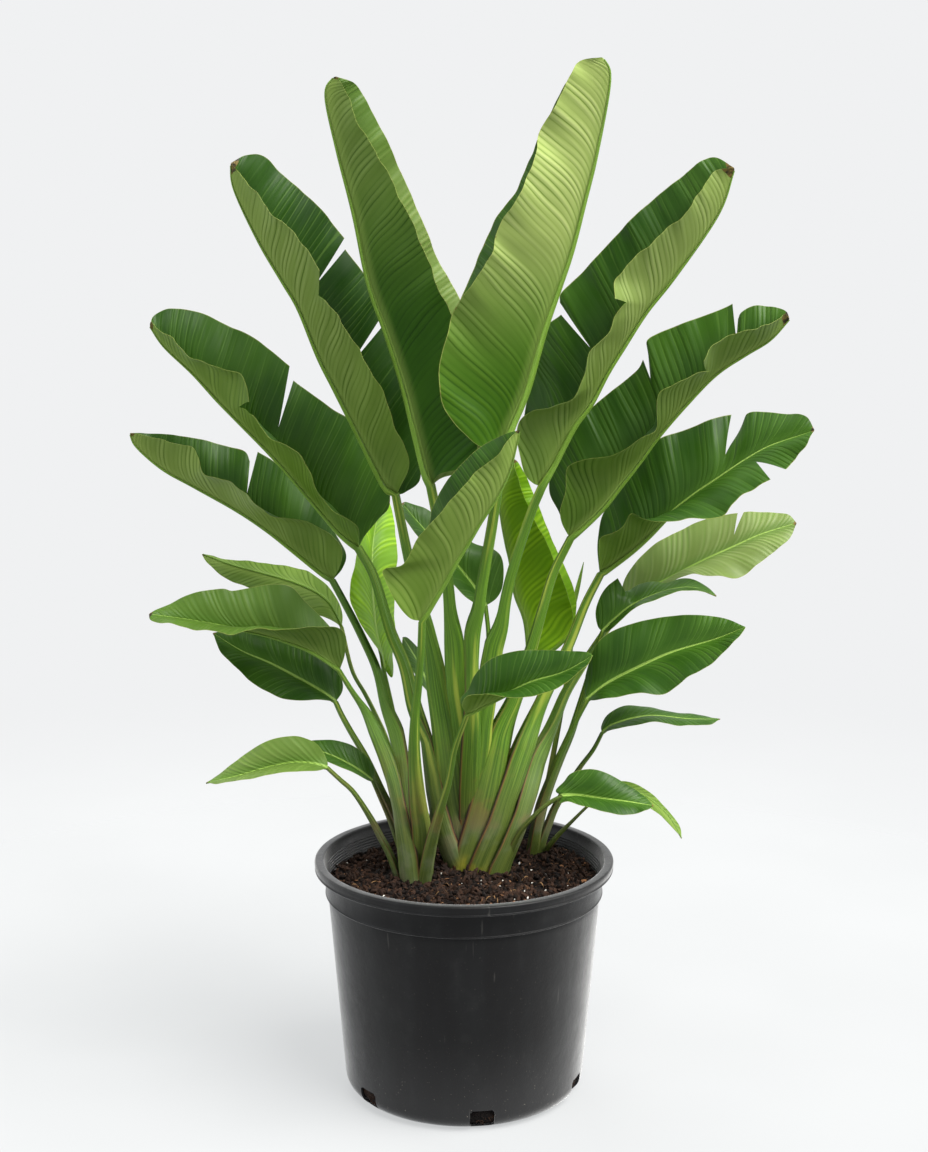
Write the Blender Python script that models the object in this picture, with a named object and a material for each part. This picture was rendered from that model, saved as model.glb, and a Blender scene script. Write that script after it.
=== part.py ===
"""A travelers palm as a nursery sells it: three leafy shoots in a black plastic pot.

Metres, +Z up, origin at the centre of the pot's flat underside. The front of the plant faces -Y.
Every leaf is one body: a grooved stalk, a midrib and two blade halves folded up from it. The halves are
drawn as the front of the plant is seen from EYE, and each half turns away in depth until its true width fits
the width that is seen.
"""

import math

import bmesh
import bpy
import numpy as np

# The pot
RIM_RADIUS = 0.180
POT_HEIGHT = 0.285
LIP_HEIGHT = 0.0115
COLLAR_TOP_RADIUS = 0.1685
COLLAR_RADIUS = 0.1665
COLLAR_BOTTOM = 0.2430
WALL_TOP_RADIUS = 0.1640
BASE_RADIUS = 0.1438
HEEL_RADIUS = 0.020
HEEL_STEPS = 4
WALL = 0.0024
POT_SIDES = 48
DRAIN_SLOTS = 6
DRAIN_WIDTH = 0.026
DRAIN_HEIGHT = 0.019
DRAIN_REACH = 0.024
DRAIN_TURN = math.radians(8.5)
GAP = 0.0003

# The soil
SOIL_TOP = 0.2620
SOIL_EDGE_DROP = 0.003
SOIL_LUMP = 0.0035
SOIL_RINGS = 8
SOIL_SIDES = 40
SOIL_SEED = 11

# Where the front is seen from: the plant's drawing coordinates are read along these sight lines
EYE = np.array((0.0, -2.1, 0.986))
EYE_PITCH = math.radians(9.68)
EYE_FOCAL = 1811.0
EYE_CENTRE = (464.3, 576.0)
FORWARD = np.array((0.0, math.cos(EYE_PITCH), -math.sin(EYE_PITCH)))
UPWARD = np.array((0.0, math.sin(EYE_PITCH), math.cos(EYE_PITCH)))
SOIL_LINE = 872.0

# The leaves
BLADE_THICKNESS = 0.0010
BLADE_ROWS = 11
BLADE_COLUMNS = 3
BLADE_BOW = 0.07
MIN_TURN = 0.22
RIB_TIP_DEPTH = 0.0012
STALK_RING_STEP = 0.045
SHOOT_DEPTH = 0.030
SHOOT_RISE = 0.004
SHOOT_SIDES = 24

POT_COLOUR = (0.045, 0.046, 0.048, 1.0)
SOIL_COLOUR = (0.060, 0.036, 0.022, 1.0)
SHOOT_COLOUR = (0.130, 0.190, 0.060, 1.0)
LEAF_COLOUR = (0.060, 0.150, 0.035, 1.0)

# Each clump's foot: centre and half axes of the oval that it fills in the soil, and the height, in the
# drawing, up to which its sheaths are grown together
SHOOTS = {
    "main_shoot": {"centre": (0.015, 0.022), "half": (0.050, 0.046), "open_above": 722.0},
    "left_shoot": {"centre": (-0.063, -0.009), "half": (0.034, 0.036), "open_above": 800.0},
    "right_shoot": {"centre": (0.092, 0.070), "half": (0.024, 0.020), "open_above": 822.0},
}

# Drawing coordinates run right and down in the 928 by 1152 frame. near is the half towards the eye,
# far the other one; each is a list of lobes with a tear between them. A tear is (how far along the
# midrib, how far out from the midrib it starts). depth is the midrib's own at its neck, middle and tip.
LEAVES = {
    "leaf_top_left": {
        "shoot": "main_shoot",
        "root": (0.004, 0.036),
        "stalk": [(470, 800), (466, 724), (462, 686), (454, 638), (450, 590), (445, 550), (437, 510)],
        "neck": (432, 486),
        "rib": [(427, 474), (416, 430), (404, 383), (387, 331), (370, 283), (355, 214), (338, 150), (326, 95)],
        "tip": (335, 76),
        "depth": (0.000, 0.005, -0.015),
        "half_width": 0.092,
        "near": [
            [
                (440, 474),
                (460, 468),
                (478, 448),
                (474, 400),
                (465, 352),
                (453, 317),
                (427, 260),
                (407, 208),
                (384, 168),
                (361, 125),
                (342, 84),
            ]
        ],
        "far": [
            [
                (442, 478),
                (468, 468),
                (486, 435),
                (482, 380),
                (471, 335),
                (459, 297),
                (436, 254),
                (410, 191),
                (393, 153),
                (373, 113),
                (357, 85),
            ]
        ],
        "stalk_width": (0.028, 0.015),
    },
    "leaf_high_left": {
        "shoot": "main_shoot",
        "root": (-0.005, 0.032),
        "stalk": [(459, 810), (452, 772), (444, 724), (437, 670), (430, 630), (418, 590), (409, 553)],
        "neck": (397, 495),
        "rib": [(385, 484), (361, 437), (337, 390), (320, 357), (300, 309), (284, 282), (260, 242), (235, 190)],
        "tip": (231, 163),
        "depth": (0.055, 0.060, 0.050),
        "half_width": 0.090,
        "near": [
            [
                (401, 486),
                (409, 470),
                (408, 457),
                (397, 435),
                (389, 409),
                (377, 376),
                (355, 346),
                (340, 321),
                (327, 299),
            ],
            [(319, 271), (303, 246), (284, 223), (260, 198), (243, 179), (234, 166)],
        ],
        "near_tears": [(0.54, 0.6)],
        "far": [
            [(406, 492), (421, 478), (418, 440), (410, 400), (397, 360), (383, 326)],
            [(380, 319), (377, 300), (370, 281), (354, 260), (346, 249)],
            [(345, 238), (314, 202), (284, 175), (264, 157), (247, 155)],
        ],
        "far_tears": [(0.34, 0.45), (0.57, 0.45)],
        "stalk_width": (0.034, 0.014),
    },
    "leaf_mid_left": {
        "shoot": "main_shoot",
        "root": (-0.014, 0.024),
        "stalk": [(446, 820), (434, 781), (424, 738), (415, 705), (406, 666), (391, 630), (375, 577)],
        "neck": (359, 548),
        "rib": [(341, 533), (320, 509), (291, 475), (270, 452), (245, 427), (219, 401), (194, 374), (165, 347)],
        "tip": (150, 326),
        "depth": (0.100, 0.110, 0.100),
        "half_width": 0.088,
        "near": [
            [
                (359, 530),
                (352, 519),
                (337, 510),
                (322, 500),
                (314, 488),
                (308, 469),
                (295, 452),
                (278, 439),
                (266, 431),
                (251, 416),
            ],
            [(249, 402), (243, 380), (234, 371), (215, 364), (192, 359), (179, 347), (163, 332), (152, 322)],
        ],
        "near_tears": [(0.62, 0.35)],
        "far": [
            [(365, 536), (379, 519), (390, 504), (386, 470), (370, 443), (352, 421), (331, 408), (294, 380)],
            [(290, 366), (257, 340), (228, 325), (198, 312), (171, 309), (155, 315)],
        ],
        "far_tears": [(0.42, 0.25)],
        "stalk_width": (0.026, 0.013),
    },
    "leaf_spread_left": {
        "shoot": "left_shoot",
        "root": (-0.057, -0.004),
        "stalk": [(408, 820), (399, 777), (389, 725), (379, 674), (362, 635), (345, 602)],
        "neck": (333, 580),
        "rib": [(320, 571), (295, 551), (268, 530), (236, 509), (194, 486), (163, 469), (137, 447)],
        "tip": (130, 433),
        "depth": (0.150, 0.170, 0.160),
        "half_width": 0.078,
        "near": [
            [
                (340, 566),
                (341, 549),
                (333, 536),
                (320, 526),
                (299, 519),
                (274, 516),
                (255, 507),
                (245, 494),
                (232, 481),
                (215, 477),
                (203, 471),
                (198, 458),
                (190, 448),
                (169, 441),
                (150, 436),
            ]
        ],
        "far": [
            [(343, 568), (346, 553), (333, 530), (320, 512), (298, 485), (276, 463), (258, 452)],
            [(250, 462), (245, 452), (228, 446), (205, 440), (173, 435), (145, 433)],
        ],
        "far_tears": [(0.44, 0.2)],
        "stalk_width": (0.018, 0.011),
    },
    "leaf_top_right": {
        "shoot": "main_shoot",
        "root": (0.006, 0.008),
        "stalk": [(469, 800), (469, 740), (470, 690), (473, 645), (479, 595), (485, 560), (491, 525), (498, 480)],
        "neck": (505, 442),
        "rib": [(511, 425), (526, 389), (543, 331), (558, 288), (571, 250), (584, 201), (596, 154), (610, 80)],
        "tip": (603, 57),
        "depth": (-0.095, -0.100, -0.110),
        "half_width": 0.102,
        "near": [
            [
                (497, 446),
                (480, 446),
                (466, 435),
                (452, 420),
                (441, 400),
                (439, 369),
                (447, 337),
                (463, 297),
                (493, 252),
                (505, 221),
                (528, 174),
                (548, 120),
                (559, 98),
                (578, 63),
            ]
        ],
        "far": [
            [
                (494, 442),
                (472, 428),
                (456, 395),
                (452, 345),
                (463, 294),
                (480, 254),
                (497, 219),
                (518, 185),
                (538, 142),
                (556, 100),
                (580, 66),
            ]
        ],
        "stalk_width": (0.026, 0.015),
    },
    "leaf_high_right": {
        "shoot": "main_shoot",
        "root": (0.010, 0.020),
        "stalk": [(474, 790), (480, 740), (486, 700), (495, 653), (505, 595), (514, 560), (530, 512)],
        "neck": (541, 486),
        "rib": [(557, 456), (573, 426), (590, 403), (606, 373), (623, 346), (646, 311), (675, 275), (718, 214)],
        "tip": (735, 168),
        "depth": (-0.030, -0.030, -0.045),
        "half_width": 0.090,
        "near": [
            [
                (533, 483),
                (524, 472),
                (519, 446),
                (520, 423),
                (532, 412),
                (549, 409),
                (569, 402),
                (575, 392),
                (582, 372),
                (592, 351),
                (607, 337),
                (618, 317),
                (623, 307),
            ],
            [(616, 299), (615, 277), (632, 260), (664, 234), (695, 199), (716, 172)],
        ],
        "near_tears": [(0.56, 0.5)],
        "far": [
            [(536, 480), (528, 455), (525, 425), (530, 390), (538, 355), (546, 328), (562, 315)],
            [(561, 303), (563, 292), (586, 268), (618, 234), (650, 202), (687, 173), (712, 157)],
        ],
        "far_tears": [(0.36, 0.35)],
        "stalk_width": (0.030, 0.015),
    },
    "leaf_mid_right": {
        "shoot": "main_shoot",
        "root": (0.013, 0.006),
        "stalk": [(485, 800), (494, 762), (503, 730), (514, 695), (531, 645), (542, 607), (553, 572)],
        "neck": (570, 538),
        "rib": [(600, 510), (621, 484), (640, 460), (657, 437), (686, 404), (716, 374), (745, 355), (770, 340)],
        "tip": (790, 319),
        "depth": (0.030, 0.030, 0.010),
        "half_width": 0.088,
        "near": [
            [
                (562, 523),
                (560, 509),
                (564, 492),
                (566, 471),
                (577, 463),
                (602, 458),
                (623, 452),
                (644, 435),
                (655, 425),
                (657, 404),
                (665, 391),
                (686, 380),
                (709, 370),
            ],
            [(703, 360), (711, 343), (728, 337), (745, 332), (768, 326), (783, 314)],
        ],
        "near_tears": [(0.68, 0.35)],
        "far": [
            [(559, 512), (549, 489), (556, 455), (572, 430), (589, 410), (619, 385), (638, 370), (644, 360)],
            [(649, 352), (650, 338), (686, 322), (716, 311), (733, 304)],
            [(739, 320), (743, 313), (756, 306), (775, 307), (786, 311)],
        ],
        "far_tears": [(0.46, 0.5), (0.79, 0.4)],
        "stalk_width": (0.032, 0.013),
    },
    "leaf_spread_right": {
        "shoot": "main_shoot",
        "root": (0.018, 0.000),
        "stalk": [(489, 839), (504, 800), (517, 766), (529, 733), (540, 702), (555, 672), (570, 640), (585, 603)],
        "neck": (600, 574),
        "rib": [(631, 551), (650, 534), (669, 515), (695, 494), (720, 477), (745, 460), (770, 446), (802, 435)],
        "tip": (815, 430),
        "depth": (0.075, 0.080, 0.050),
        "half_width": 0.086,
        "near": [
            [
                (600, 550),
                (603, 537),
                (619, 527),
                (631, 514),
                (644, 519),
                (661, 522),
                (684, 521),
                (716, 517),
                (741, 496),
                (762, 486),
                (772, 481),
            ],
            [(785, 468), (794, 459), (804, 448)],
        ],
        "near_tears": [(0.72, 0.45)],
        "far": [
            [
                (598, 552),
                (599, 535),
                (602, 517),
                (610, 500),
                (621, 486),
                (634, 467),
                (657, 441),
                (686, 429),
                (716, 418),
                (732, 415),
            ],
            [(742, 431), (745, 421), (751, 414), (772, 412), (804, 415)],
        ],
        "far_tears": [(0.60, 0.3)],
        "stalk_width": (0.030, 0.013),
    },
    "leaf_low_right": {
        "shoot": "main_shoot",
        "root": (0.044, 0.014),
        "stalk": [(515, 829), (529, 793), (537, 762), (548, 735), (557, 713), (566, 692), (579, 671), (596, 645), (612, 622)],
        "neck": (630, 602),
        "rib": [(648, 590), (665, 581), (682, 572), (707, 559), (733, 547), (762, 534)],
        "tip": (797, 523),
        "depth": (0.150, 0.160, 0.170),
        "half_width": 0.060,
        "near": [
            [(645, 599), (660, 590), (678, 579), (692, 574), (706, 577), (722, 577), (741, 576), (762, 561), (787, 542)],
        ],
        "far": [
            [(622, 596), (629, 573), (650, 548), (680, 530), (716, 517), (738, 513)],
            [(744, 512), (754, 511), (770, 512), (789, 516)],
        ],
        "far_tears": [(0.62, 0.25)],
        "stalk_width": (0.022, 0.009),
    },
    "leaf_under_right": {
        "shoot": "right_shoot",
        "root": (0.084, 0.076),
        "stalk": [(536, 835), (543, 806), (551, 782), (561, 757), (571, 734), (580, 706), (588, 680), (596, 652)],
        "neck": (603, 632),
        "rib": [(616, 619), (632, 606), (652, 596), (674, 589), (696, 588)],
        "tip": (717, 596),
        "depth": (0.065, 0.072, 0.085),
        "half_width": 0.034,
        "near": [
            [(609, 631), (622, 620), (634, 609), (652, 600), (674, 593), (698, 591)],
        ],
        "far": [
            [(598, 626), (596, 612), (600, 598), (607, 587), (618, 578)],
            [(627, 592), (640, 584), (655, 581), (668, 582), (682, 579), (698, 582), (710, 589)],
        ],
        "far_tears": [(0.30, 0.50)],
        "stalk_width": (0.013, 0.007),
    },
    "leaf_oval_right": {
        "shoot": "right_shoot",
        "root": (0.083, 0.064),
        "stalk": [(534, 836), (540, 808), (548, 785), (557, 762), (567, 740), (577, 718)],
        "neck": (587, 700),
        "rib": [(606, 685), (631, 671), (670, 653), (716, 639)],
        "tip": (746, 627),
        "depth": (0.030, 0.020, 0.000),
        "half_width": 0.056,
        "near": [[(596, 700), (613, 696), (639, 693), (664, 695), (690, 676), (721, 656), (741, 635)]],
        "far": [[(585, 688), (588, 669), (598, 643), (619, 628), (657, 618), (695, 615), (724, 618)]],
        "stalk_width": (0.016, 0.008),
    },
    "leaf_narrow_right": {
        "shoot": "right_shoot",
        "root": (0.093, 0.068),
        "stalk": [(541, 843), (548, 824), (556, 805), (578, 770), (593, 750)],
        "neck": (602, 733),
        "rib": [(616, 724), (650, 716), (690, 719)],
        "tip": (721, 719),
        "depth": (0.060, 0.070, 0.080),
        "half_width": 0.032,
        "near": [[(614, 729), (630, 725), (655, 722), (680, 726), (708, 724)]],
        "far": [[(602, 726), (609, 715), (624, 706), (644, 706), (670, 711), (700, 716)]],
        "stalk_width": (0.012, 0.006),
    },
    "leaf_drooping_right": {
        "shoot": "main_shoot",
        "root": (0.049, 0.006),
        "stalk": [(510, 852), (520, 831), (538, 812), (552, 801)],
        "neck": (563, 796),
        "rib": [(580, 796), (606, 799), (630, 802)],
        "tip": (654, 806),
        "depth": (-0.030, -0.035, -0.040),
        "half_width": 0.036,
        "near": [
            [(560, 803), (569, 801), (583, 806), (606, 813), (631, 814), (646, 810)],
        ],
        "far": [
            [(556, 791), (564, 782), (572, 773), (590, 769), (607, 773), (627, 784), (645, 797)],
        ],
        "stalk_width": (0.010, 0.006),
    },
    "leaf_right_small": {
        "shoot": "right_shoot",
        "root": (0.101, 0.070),
        "stalk": [(550, 846), (560, 834), (571, 823), (584, 810)],
        "neck": (594, 801),
        "rib": [(608, 793), (625, 790), (642, 795), (656, 804), (670, 818)],
        "tip": (682, 839),
        "depth": (0.030, 0.020, 0.010),
        "half_width": 0.024,
        "near": [
            [(604, 803), (620, 801), (636, 802), (650, 807), (661, 815), (671, 826), (678, 833)],
        ],
        "far": [
            [(599, 793), (610, 784), (625, 781), (641, 786), (657, 798), (672, 815), (680, 829)],
        ],
        "stalk_width": (0.008, 0.004),
    },
    "leaf_front": {
        "shoot": "left_shoot",
        "root": (-0.051, -0.010),
        "stalk": [(421, 830), (417, 800), (414, 757), (415, 715), (418, 685), (421, 650)],
        "neck": (422, 621),
        "rib": [(432, 604), (444, 584), (456, 562), (469, 541), (481, 521), (498, 495), (510, 469)],
        "tip": (520, 430),
        "depth": (-0.120, -0.145, -0.160),
        "half_width": 0.062,
        "near": [
            [
                (410, 618),
                (397, 603),
                (386, 581),
                (384, 570),
                (404, 564),
                (417, 542),
                (429, 524),
                (453, 498),
                (473, 477),
                (493, 458),
                (509, 439),
            ]
        ],
        "far": [
            [
                (418, 600),
                (414, 575),
                (420, 550),
                (430, 521),
                (432, 507),
                (444, 486),
                (462, 464),
                (482, 446),
                (506, 434),
            ]
        ],
        "stalk_width": (0.017, 0.010),
    },
    "leaf_front_small": {
        "shoot": "left_shoot",
        "root": (-0.048, -0.029),
        "stalk": [(431, 844), (440, 810), (449, 780), (455, 748)],
        "neck": (467, 715),
        "rib": [(486, 705), (504, 696), (532, 682), (562, 673), (583, 662)],
        "tip": (593, 655),
        "depth": (-0.110, -0.125, -0.140),
        "half_width": 0.044,
        "near": [[(462, 704), (467, 695), (485, 694), (501, 697), (522, 698), (547, 693), (573, 676), (588, 665)]],
        "far": [[(461, 700), (469, 689), (476, 674), (491, 659), (516, 651), (542, 650), (568, 651), (586, 652)]],
        "stalk_width": (0.012, 0.007),
    },
    "leaf_back_left": {
        "shoot": "left_shoot",
        "root": (-0.052, 0.010),
        "stalk": [(414, 800), (406, 753), (396, 720), (390, 694)],
        "neck": (384, 668),
        "rib": [(382, 655), (377, 635), (374, 610), (372, 575), (374, 535)],
        "tip": (384, 492),
        "depth": (0.115, 0.150, 0.235),
        "half_width": 0.048,
        "near": [[(381, 655), (374, 643), (366, 630), (357, 615), (351, 599), (352, 577), (357, 550), (365, 520)]],
        "far": [[(393, 677), (394, 650), (394, 620), (396, 590), (397, 562), (395, 525), (390, 500)]],
        "stalk_width": (0.010, 0.007),
    },
    "leaf_back_right": {
        "shoot": "main_shoot",
        "root": (0.030, 0.040),
        "stalk": [(500, 800), (512, 730), (524, 690)],
        "neck": (530, 662),
        "rib": [(526, 622), (516, 594), (511, 562), (507, 545), (502, 518), (500, 493)],
        "tip": (515, 459),
        "depth": (0.110, 0.125, 0.140),
        "half_width": 0.064,
        "near": [[(547, 652), (566, 635), (573, 617), (567, 591), (556, 563), (537, 524), (528, 504), (516, 474)]],
        "far": [[(550, 655), (570, 636), (576, 610), (574, 589), (560, 555), (550, 535), (534, 493), (520, 465)]],
        "stalk_width": (0.012, 0.008),
    },
    "leaf_back_middle": {
        "shoot": "main_shoot",
        "root": (0.014, 0.044),
        "stalk": [(484, 790), (487, 700), (489, 640)],
        "neck": (486, 606),
        "rib": [(472, 584), (450, 557), (424, 529)],
        "tip": (402, 503),
        "depth": (0.100, 0.115, 0.130),
        "half_width": 0.044,
        "near": [[(474, 603), (458, 587), (440, 565), (420, 541), (406, 516)]],
        "far": [[(497, 598), (503, 585), (503, 562), (495, 550), (471, 541), (446, 522), (424, 508), (408, 502)]],
        "stalk_width": (0.009, 0.006),
    },
    "leaf_back_small": {
        "shoot": "main_shoot",
        "root": (-0.012, 0.044),
        "stalk": [(440, 800), (436, 740)],
        "neck": (429, 693),
        "rib": [(424, 675), (414, 655)],
        "tip": (403, 637),
        "depth": (0.105, 0.110, 0.115),
        "half_width": 0.018,
        "near": [
            [(420, 682), (410, 663), (403, 648)],
        ],
        "far": [
            [(431, 680), (427, 662), (418, 648), (408, 638)],
        ],
        "stalk_width": (0.007, 0.004),
    },
    "leaf_side_left_back": {
        "shoot": "left_shoot",
        "root": (-0.066, 0.006),
        "stalk": [(402, 800), (388, 745), (375, 714), (365, 694), (352, 670)],
        "neck": (342, 628),
        "rib": [(327, 601), (300, 585), (260, 573), (228, 564)],
        "tip": (202, 554),
        "depth": (0.200, 0.215, 0.220),
        "half_width": 0.042,
        "near": [[(334, 622), (310, 612), (280, 600), (248, 588), (222, 575), (207, 562)]],
        "far": [[(342, 612), (331, 591), (313, 573), (300, 568), (270, 564), (240, 561), (216, 556)]],
        "stalk_width": (0.009, 0.006),
    },
    "leaf_side_left": {
        "shoot": "left_shoot",
        "root": (-0.061, -0.004),
        "stalk": [(406, 839), (399, 797), (389, 758), (370, 718), (359, 700), (348, 683)],
        "neck": (340, 670),
        "rib": [(328, 661), (305, 648), (270, 636), (233, 628), (190, 620)],
        "tip": (149, 614),
        "depth": (0.050, 0.060, 0.050),
        "half_width": 0.060,
        "near": [
            [
                (345, 655),
                (346, 636),
                (337, 627),
                (320, 626),
                (292, 628),
                (261, 630),
                (233, 634),
                (213, 630),
                (180, 627),
                (153, 621),
            ]
        ],
        "far": [
            [
                (341, 645),
                (326, 623),
                (305, 601),
                (292, 587),
                (274, 584),
                (253, 587),
                (233, 591),
                (222, 589),
                (194, 593),
                (164, 606),
            ]
        ],
        "stalk_width": (0.016, 0.009),
    },
    "leaf_side_left_under": {
        "shoot": "left_shoot",
        "root": (-0.066, -0.002),
        "stalk": [(403, 842), (394, 818), (381, 790), (366, 757), (352, 733), (342, 715)],
        "neck": (336, 702),
        "rib": [(322, 692), (300, 679), (270, 663), (242, 651)],
        "tip": (213, 633),
        "depth": (0.100, 0.120, 0.130),
        "half_width": 0.046,
        "near": [[(328, 701), (305, 700), (281, 697), (257, 686), (238, 670), (221, 650)]],
        "far": [[(343, 690), (341, 677), (325, 657), (300, 643), (265, 634), (232, 630)]],
        "stalk_width": (0.014, 0.007),
    },
    "leaf_bottom_left": {
        "shoot": "left_shoot",
        "root": (-0.079, -0.011),
        "stalk": [(391, 855), (382, 838), (370, 816), (354, 792), (341, 780)],
        "neck": (328, 768),
        "rib": [(312, 764), (292, 763), (266, 768), (238, 776)],
        "tip": (206, 783),
        "depth": (-0.020, -0.030, -0.030),
        "half_width": 0.034,
        "near": [[(318, 770), (300, 770), (275, 774), (240, 781)]],
        "far": [[(327, 760), (318, 745), (305, 738), (292, 736), (270, 740), (248, 752), (226, 770)]],
        "stalk_width": (0.010, 0.006),
    },
    "leaf_bottom_left_back": {
        "shoot": "left_shoot",
        "root": (-0.070, -0.008),
        "stalk": [(401, 850), (390, 820), (380, 797)],
        "neck": (373, 781),
        "rib": [(355, 768), (335, 757), (316, 750)],
        "tip": (299, 745),
        "depth": (0.030, 0.040, 0.050),
        "half_width": 0.026,
        "near": [[(366, 780), (348, 770), (329, 762), (311, 753)]],
        "far": [[(375, 769), (368, 757), (357, 748), (346, 743), (331, 740), (312, 741)]],
        "stalk_width": (0.008, 0.005),
    },
}

# The rolled young leaf behind the right clump
SPEAR = {
    "shoot": "right_shoot",
    "root": (0.090, 0.074),
    "stalk": [(545, 800), (560, 720), (570, 660), (573, 620)],
    "neck": (574, 605),
    "rib": [(578, 580)],
    "tip": (584, 562),
    "depth": (0.190, 0.200, 0.200),
    "stalk_width": (0.008, 0.005),
}


def seen(point, depth):
    """The place at this depth (its y) on the sight line through a drawing point."""
    across = (point[0] - EYE_CENTRE[0]) / EYE_FOCAL
    up = (EYE_CENTRE[1] - point[1]) / EYE_FOCAL
    line = FORWARD + UPWARD * up + np.array((across, 0.0, 0.0))
    return EYE + line * (depth - EYE[1]) / line[1]


def unit(vector):
    return vector / max(np.linalg.norm(vector), 1e-9)


class Curve:
    """A smooth curve through points, read by its share of length."""

    def __init__(self, points, steps=8):
        points = np.asarray(points, float)
        ends = [2 * points[0] - points[1], *points, 2 * points[-1] - points[-2]]
        found = []
        for before, start, stop, after in zip(ends, ends[1:], ends[2:], ends[3:]):
            for u in np.arange(steps) / steps:
                bend = 2 * before - 5 * start + 4 * stop - after
                twist = 3 * (start - stop) + after - before
                found.append(start + 0.5 * u * (stop - before + u * (bend + u * twist)))
        self.points = np.array([*found, points[-1]])
        runs = np.linalg.norm(np.diff(self.points, axis=0), axis=1)
        self.lengths = np.concatenate(([0.0], np.cumsum(runs)))

    def at(self, share):
        place = share * self.lengths[-1]
        return np.array([np.interp(place, self.lengths, axis) for axis in self.points.T])

    def direction(self, share, reach=0.02):
        return unit(self.at(min(share + reach, 1.0)) - self.at(max(share - reach, 0.0)))


def bend(depth, share):
    """A parabola through the depths at the neck, the middle and the tip."""
    neck, middle, tip = depth
    return neck + share * (4 * middle - 3 * neck - tip) + share**2 * (2 * neck - 4 * middle + 2 * tip)


def outline_share(share):
    """The blade's half width along the midrib, as a share of its greatest: round foot, pointed tip."""
    return math.sin(math.pi * share**0.8) ** 0.75


def stations(tears, rows):
    """The shares of the midrib where rows of veins start, with one at every tear."""
    shares = list(np.linspace(0.0, 1.0, rows + 1))
    for along, _ in tears:
        nearest = min(range(1, rows), key=lambda i: abs(shares[i] - along))
        shares[nearest] = along
    return sorted(shares)


def half_rows(leaf, side, shares, columns):
    """One blade half as rows of points, midrib to margin: [(row number, torn from column, points)]."""
    lobes = leaf[side]
    tears = leaf.get(side + "_tears", [])
    cuts = [0.0, *(along for along, _ in tears), 1.0]
    edges = []
    for number, lobe in enumerate(lobes):
        start = [leaf["neck"]] if number == 0 else []
        stop = [leaf["tip"]] if number == len(lobes) - 1 else []
        edges.append(Curve([*start, *lobe, *stop]))
    rib = Curve([leaf["neck"], *leaf["rib"], leaf["tip"]])
    towards = -1.0 if side == "near" else 1.0
    rows = []
    for lobe, (edge, start, stop) in enumerate(zip(edges, cuts, cuts[1:])):
        for number, share in enumerate(shares):
            if not start - 1e-6 <= share <= stop + 1e-6 or number in (0, len(shares) - 1):
                continue
            own = bend(leaf["depth"], share)
            rib_point = seen(rib.at(share), own)
            margin = edge.at((share - start) / (stop - start))
            shown = np.linalg.norm(seen(margin, own) - rib_point)
            true = max(leaf["half_width"] * outline_share(share), shown * 1.02)
            turn = math.sqrt(max(true**2 - shown**2, (MIN_TURN * true) ** 2))
            rows.append([number, lobe, rib_point, margin, own, towards * turn])
    turns = np.array([row[5] for row in rows])
    for _ in range(2):
        padded = np.concatenate((turns[:1], turns, turns[-1:]))
        turns = (padded[:-2] + 2 * padded[1:-1] + padded[2:]) / 4
    steps = np.arange(columns + 1) / columns
    made = []
    for row, turn in zip(rows, turns):
        number, lobe, rib_point, margin, own, _ = row
        edge_point = seen(margin, own + turn)
        made.append({"row": number, "lobe": lobe, "rib": rib_point, "edge": edge_point, "torn": None})
    for first, second in zip(made, made[1:]):
        if first["row"] == second["row"]:
            inward = tears[first["lobe"]][1]
            first["torn"] = second["torn"] = max(1, round(inward * columns))
            middle = (first["edge"] + second["edge"]) / 2
            first["middle"] = second["middle"] = middle
    for row in made:
        middle = row.get("middle", row["edge"])
        kept = (row["torn"] or 0) / columns
        apart = np.clip((steps - kept) / (1 - kept), 0, None) if row["torn"] else steps * 0
        line = row["rib"] + np.outer(steps, middle - row["rib"])
        row["points"] = line + np.outer(apart, row["edge"] - middle)
    return made


def arch(rows, along, turn):
    """Bows each row towards the leaf's upper face, highest halfway out. turn is 1 or -1, by the half."""
    for row in rows:
        out = row["edge"] - row["rib"]
        normal = unit(np.cross(along[row["row"]], out)) * turn
        row["normal"] = normal
        steps = np.linspace(0.0, 1.0, len(row["points"]))
        rise = BLADE_BOW * np.linalg.norm(out) * np.sin(math.pi * steps)
        row["points"] = row["points"] + np.outer(rise, normal)


def stalk_curve(leaf):
    """The stalk's line from the soil to the neck; its depth runs evenly from the root's to the neck's."""
    root_x, root_y = leaf["root"]
    rise = SOIL_LINE - leaf["neck"][1]
    points = [np.array((root_x, root_y, SOIL_TOP - SHOOT_DEPTH / 2)), np.array((root_x, root_y, SOIL_TOP))]
    for place in [*leaf["stalk"], leaf["neck"]]:
        share = (SOIL_LINE - place[1]) / rise
        points.append(seen(place, root_y + (leaf["depth"][0] - root_y) * share))
    return Curve(points)


def ring(centre, upper, side, width, height):
    """A stalk's section: groove on the upper face, two shoulders, two flanks and a keel."""
    return [
        centre + upper * 0.40 * height,
        centre + side * width + upper * 0.75 * height,
        centre + side * 0.80 * width - upper * 0.50 * height,
        centre - upper * height,
        centre - side * 0.80 * width - upper * 0.50 * height,
        centre - side * width + upper * 0.75 * height,
    ]


def lofted(rings):
    """A closed body through rings of as many points each."""
    mesh = bmesh.new()
    loops = [[mesh.verts.new(point) for point in points] for points in rings]
    for lower, higher in zip(loops, loops[1:]):
        for i in range(len(lower)):
            j = (i + 1) % len(lower)
            mesh.faces.new((lower[i], lower[j], higher[j], higher[i]))
    mesh.faces.new(loops[0])
    mesh.faces.new(loops[-1])
    bmesh.ops.recalc_face_normals(mesh, faces=mesh.faces)
    return mesh


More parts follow.
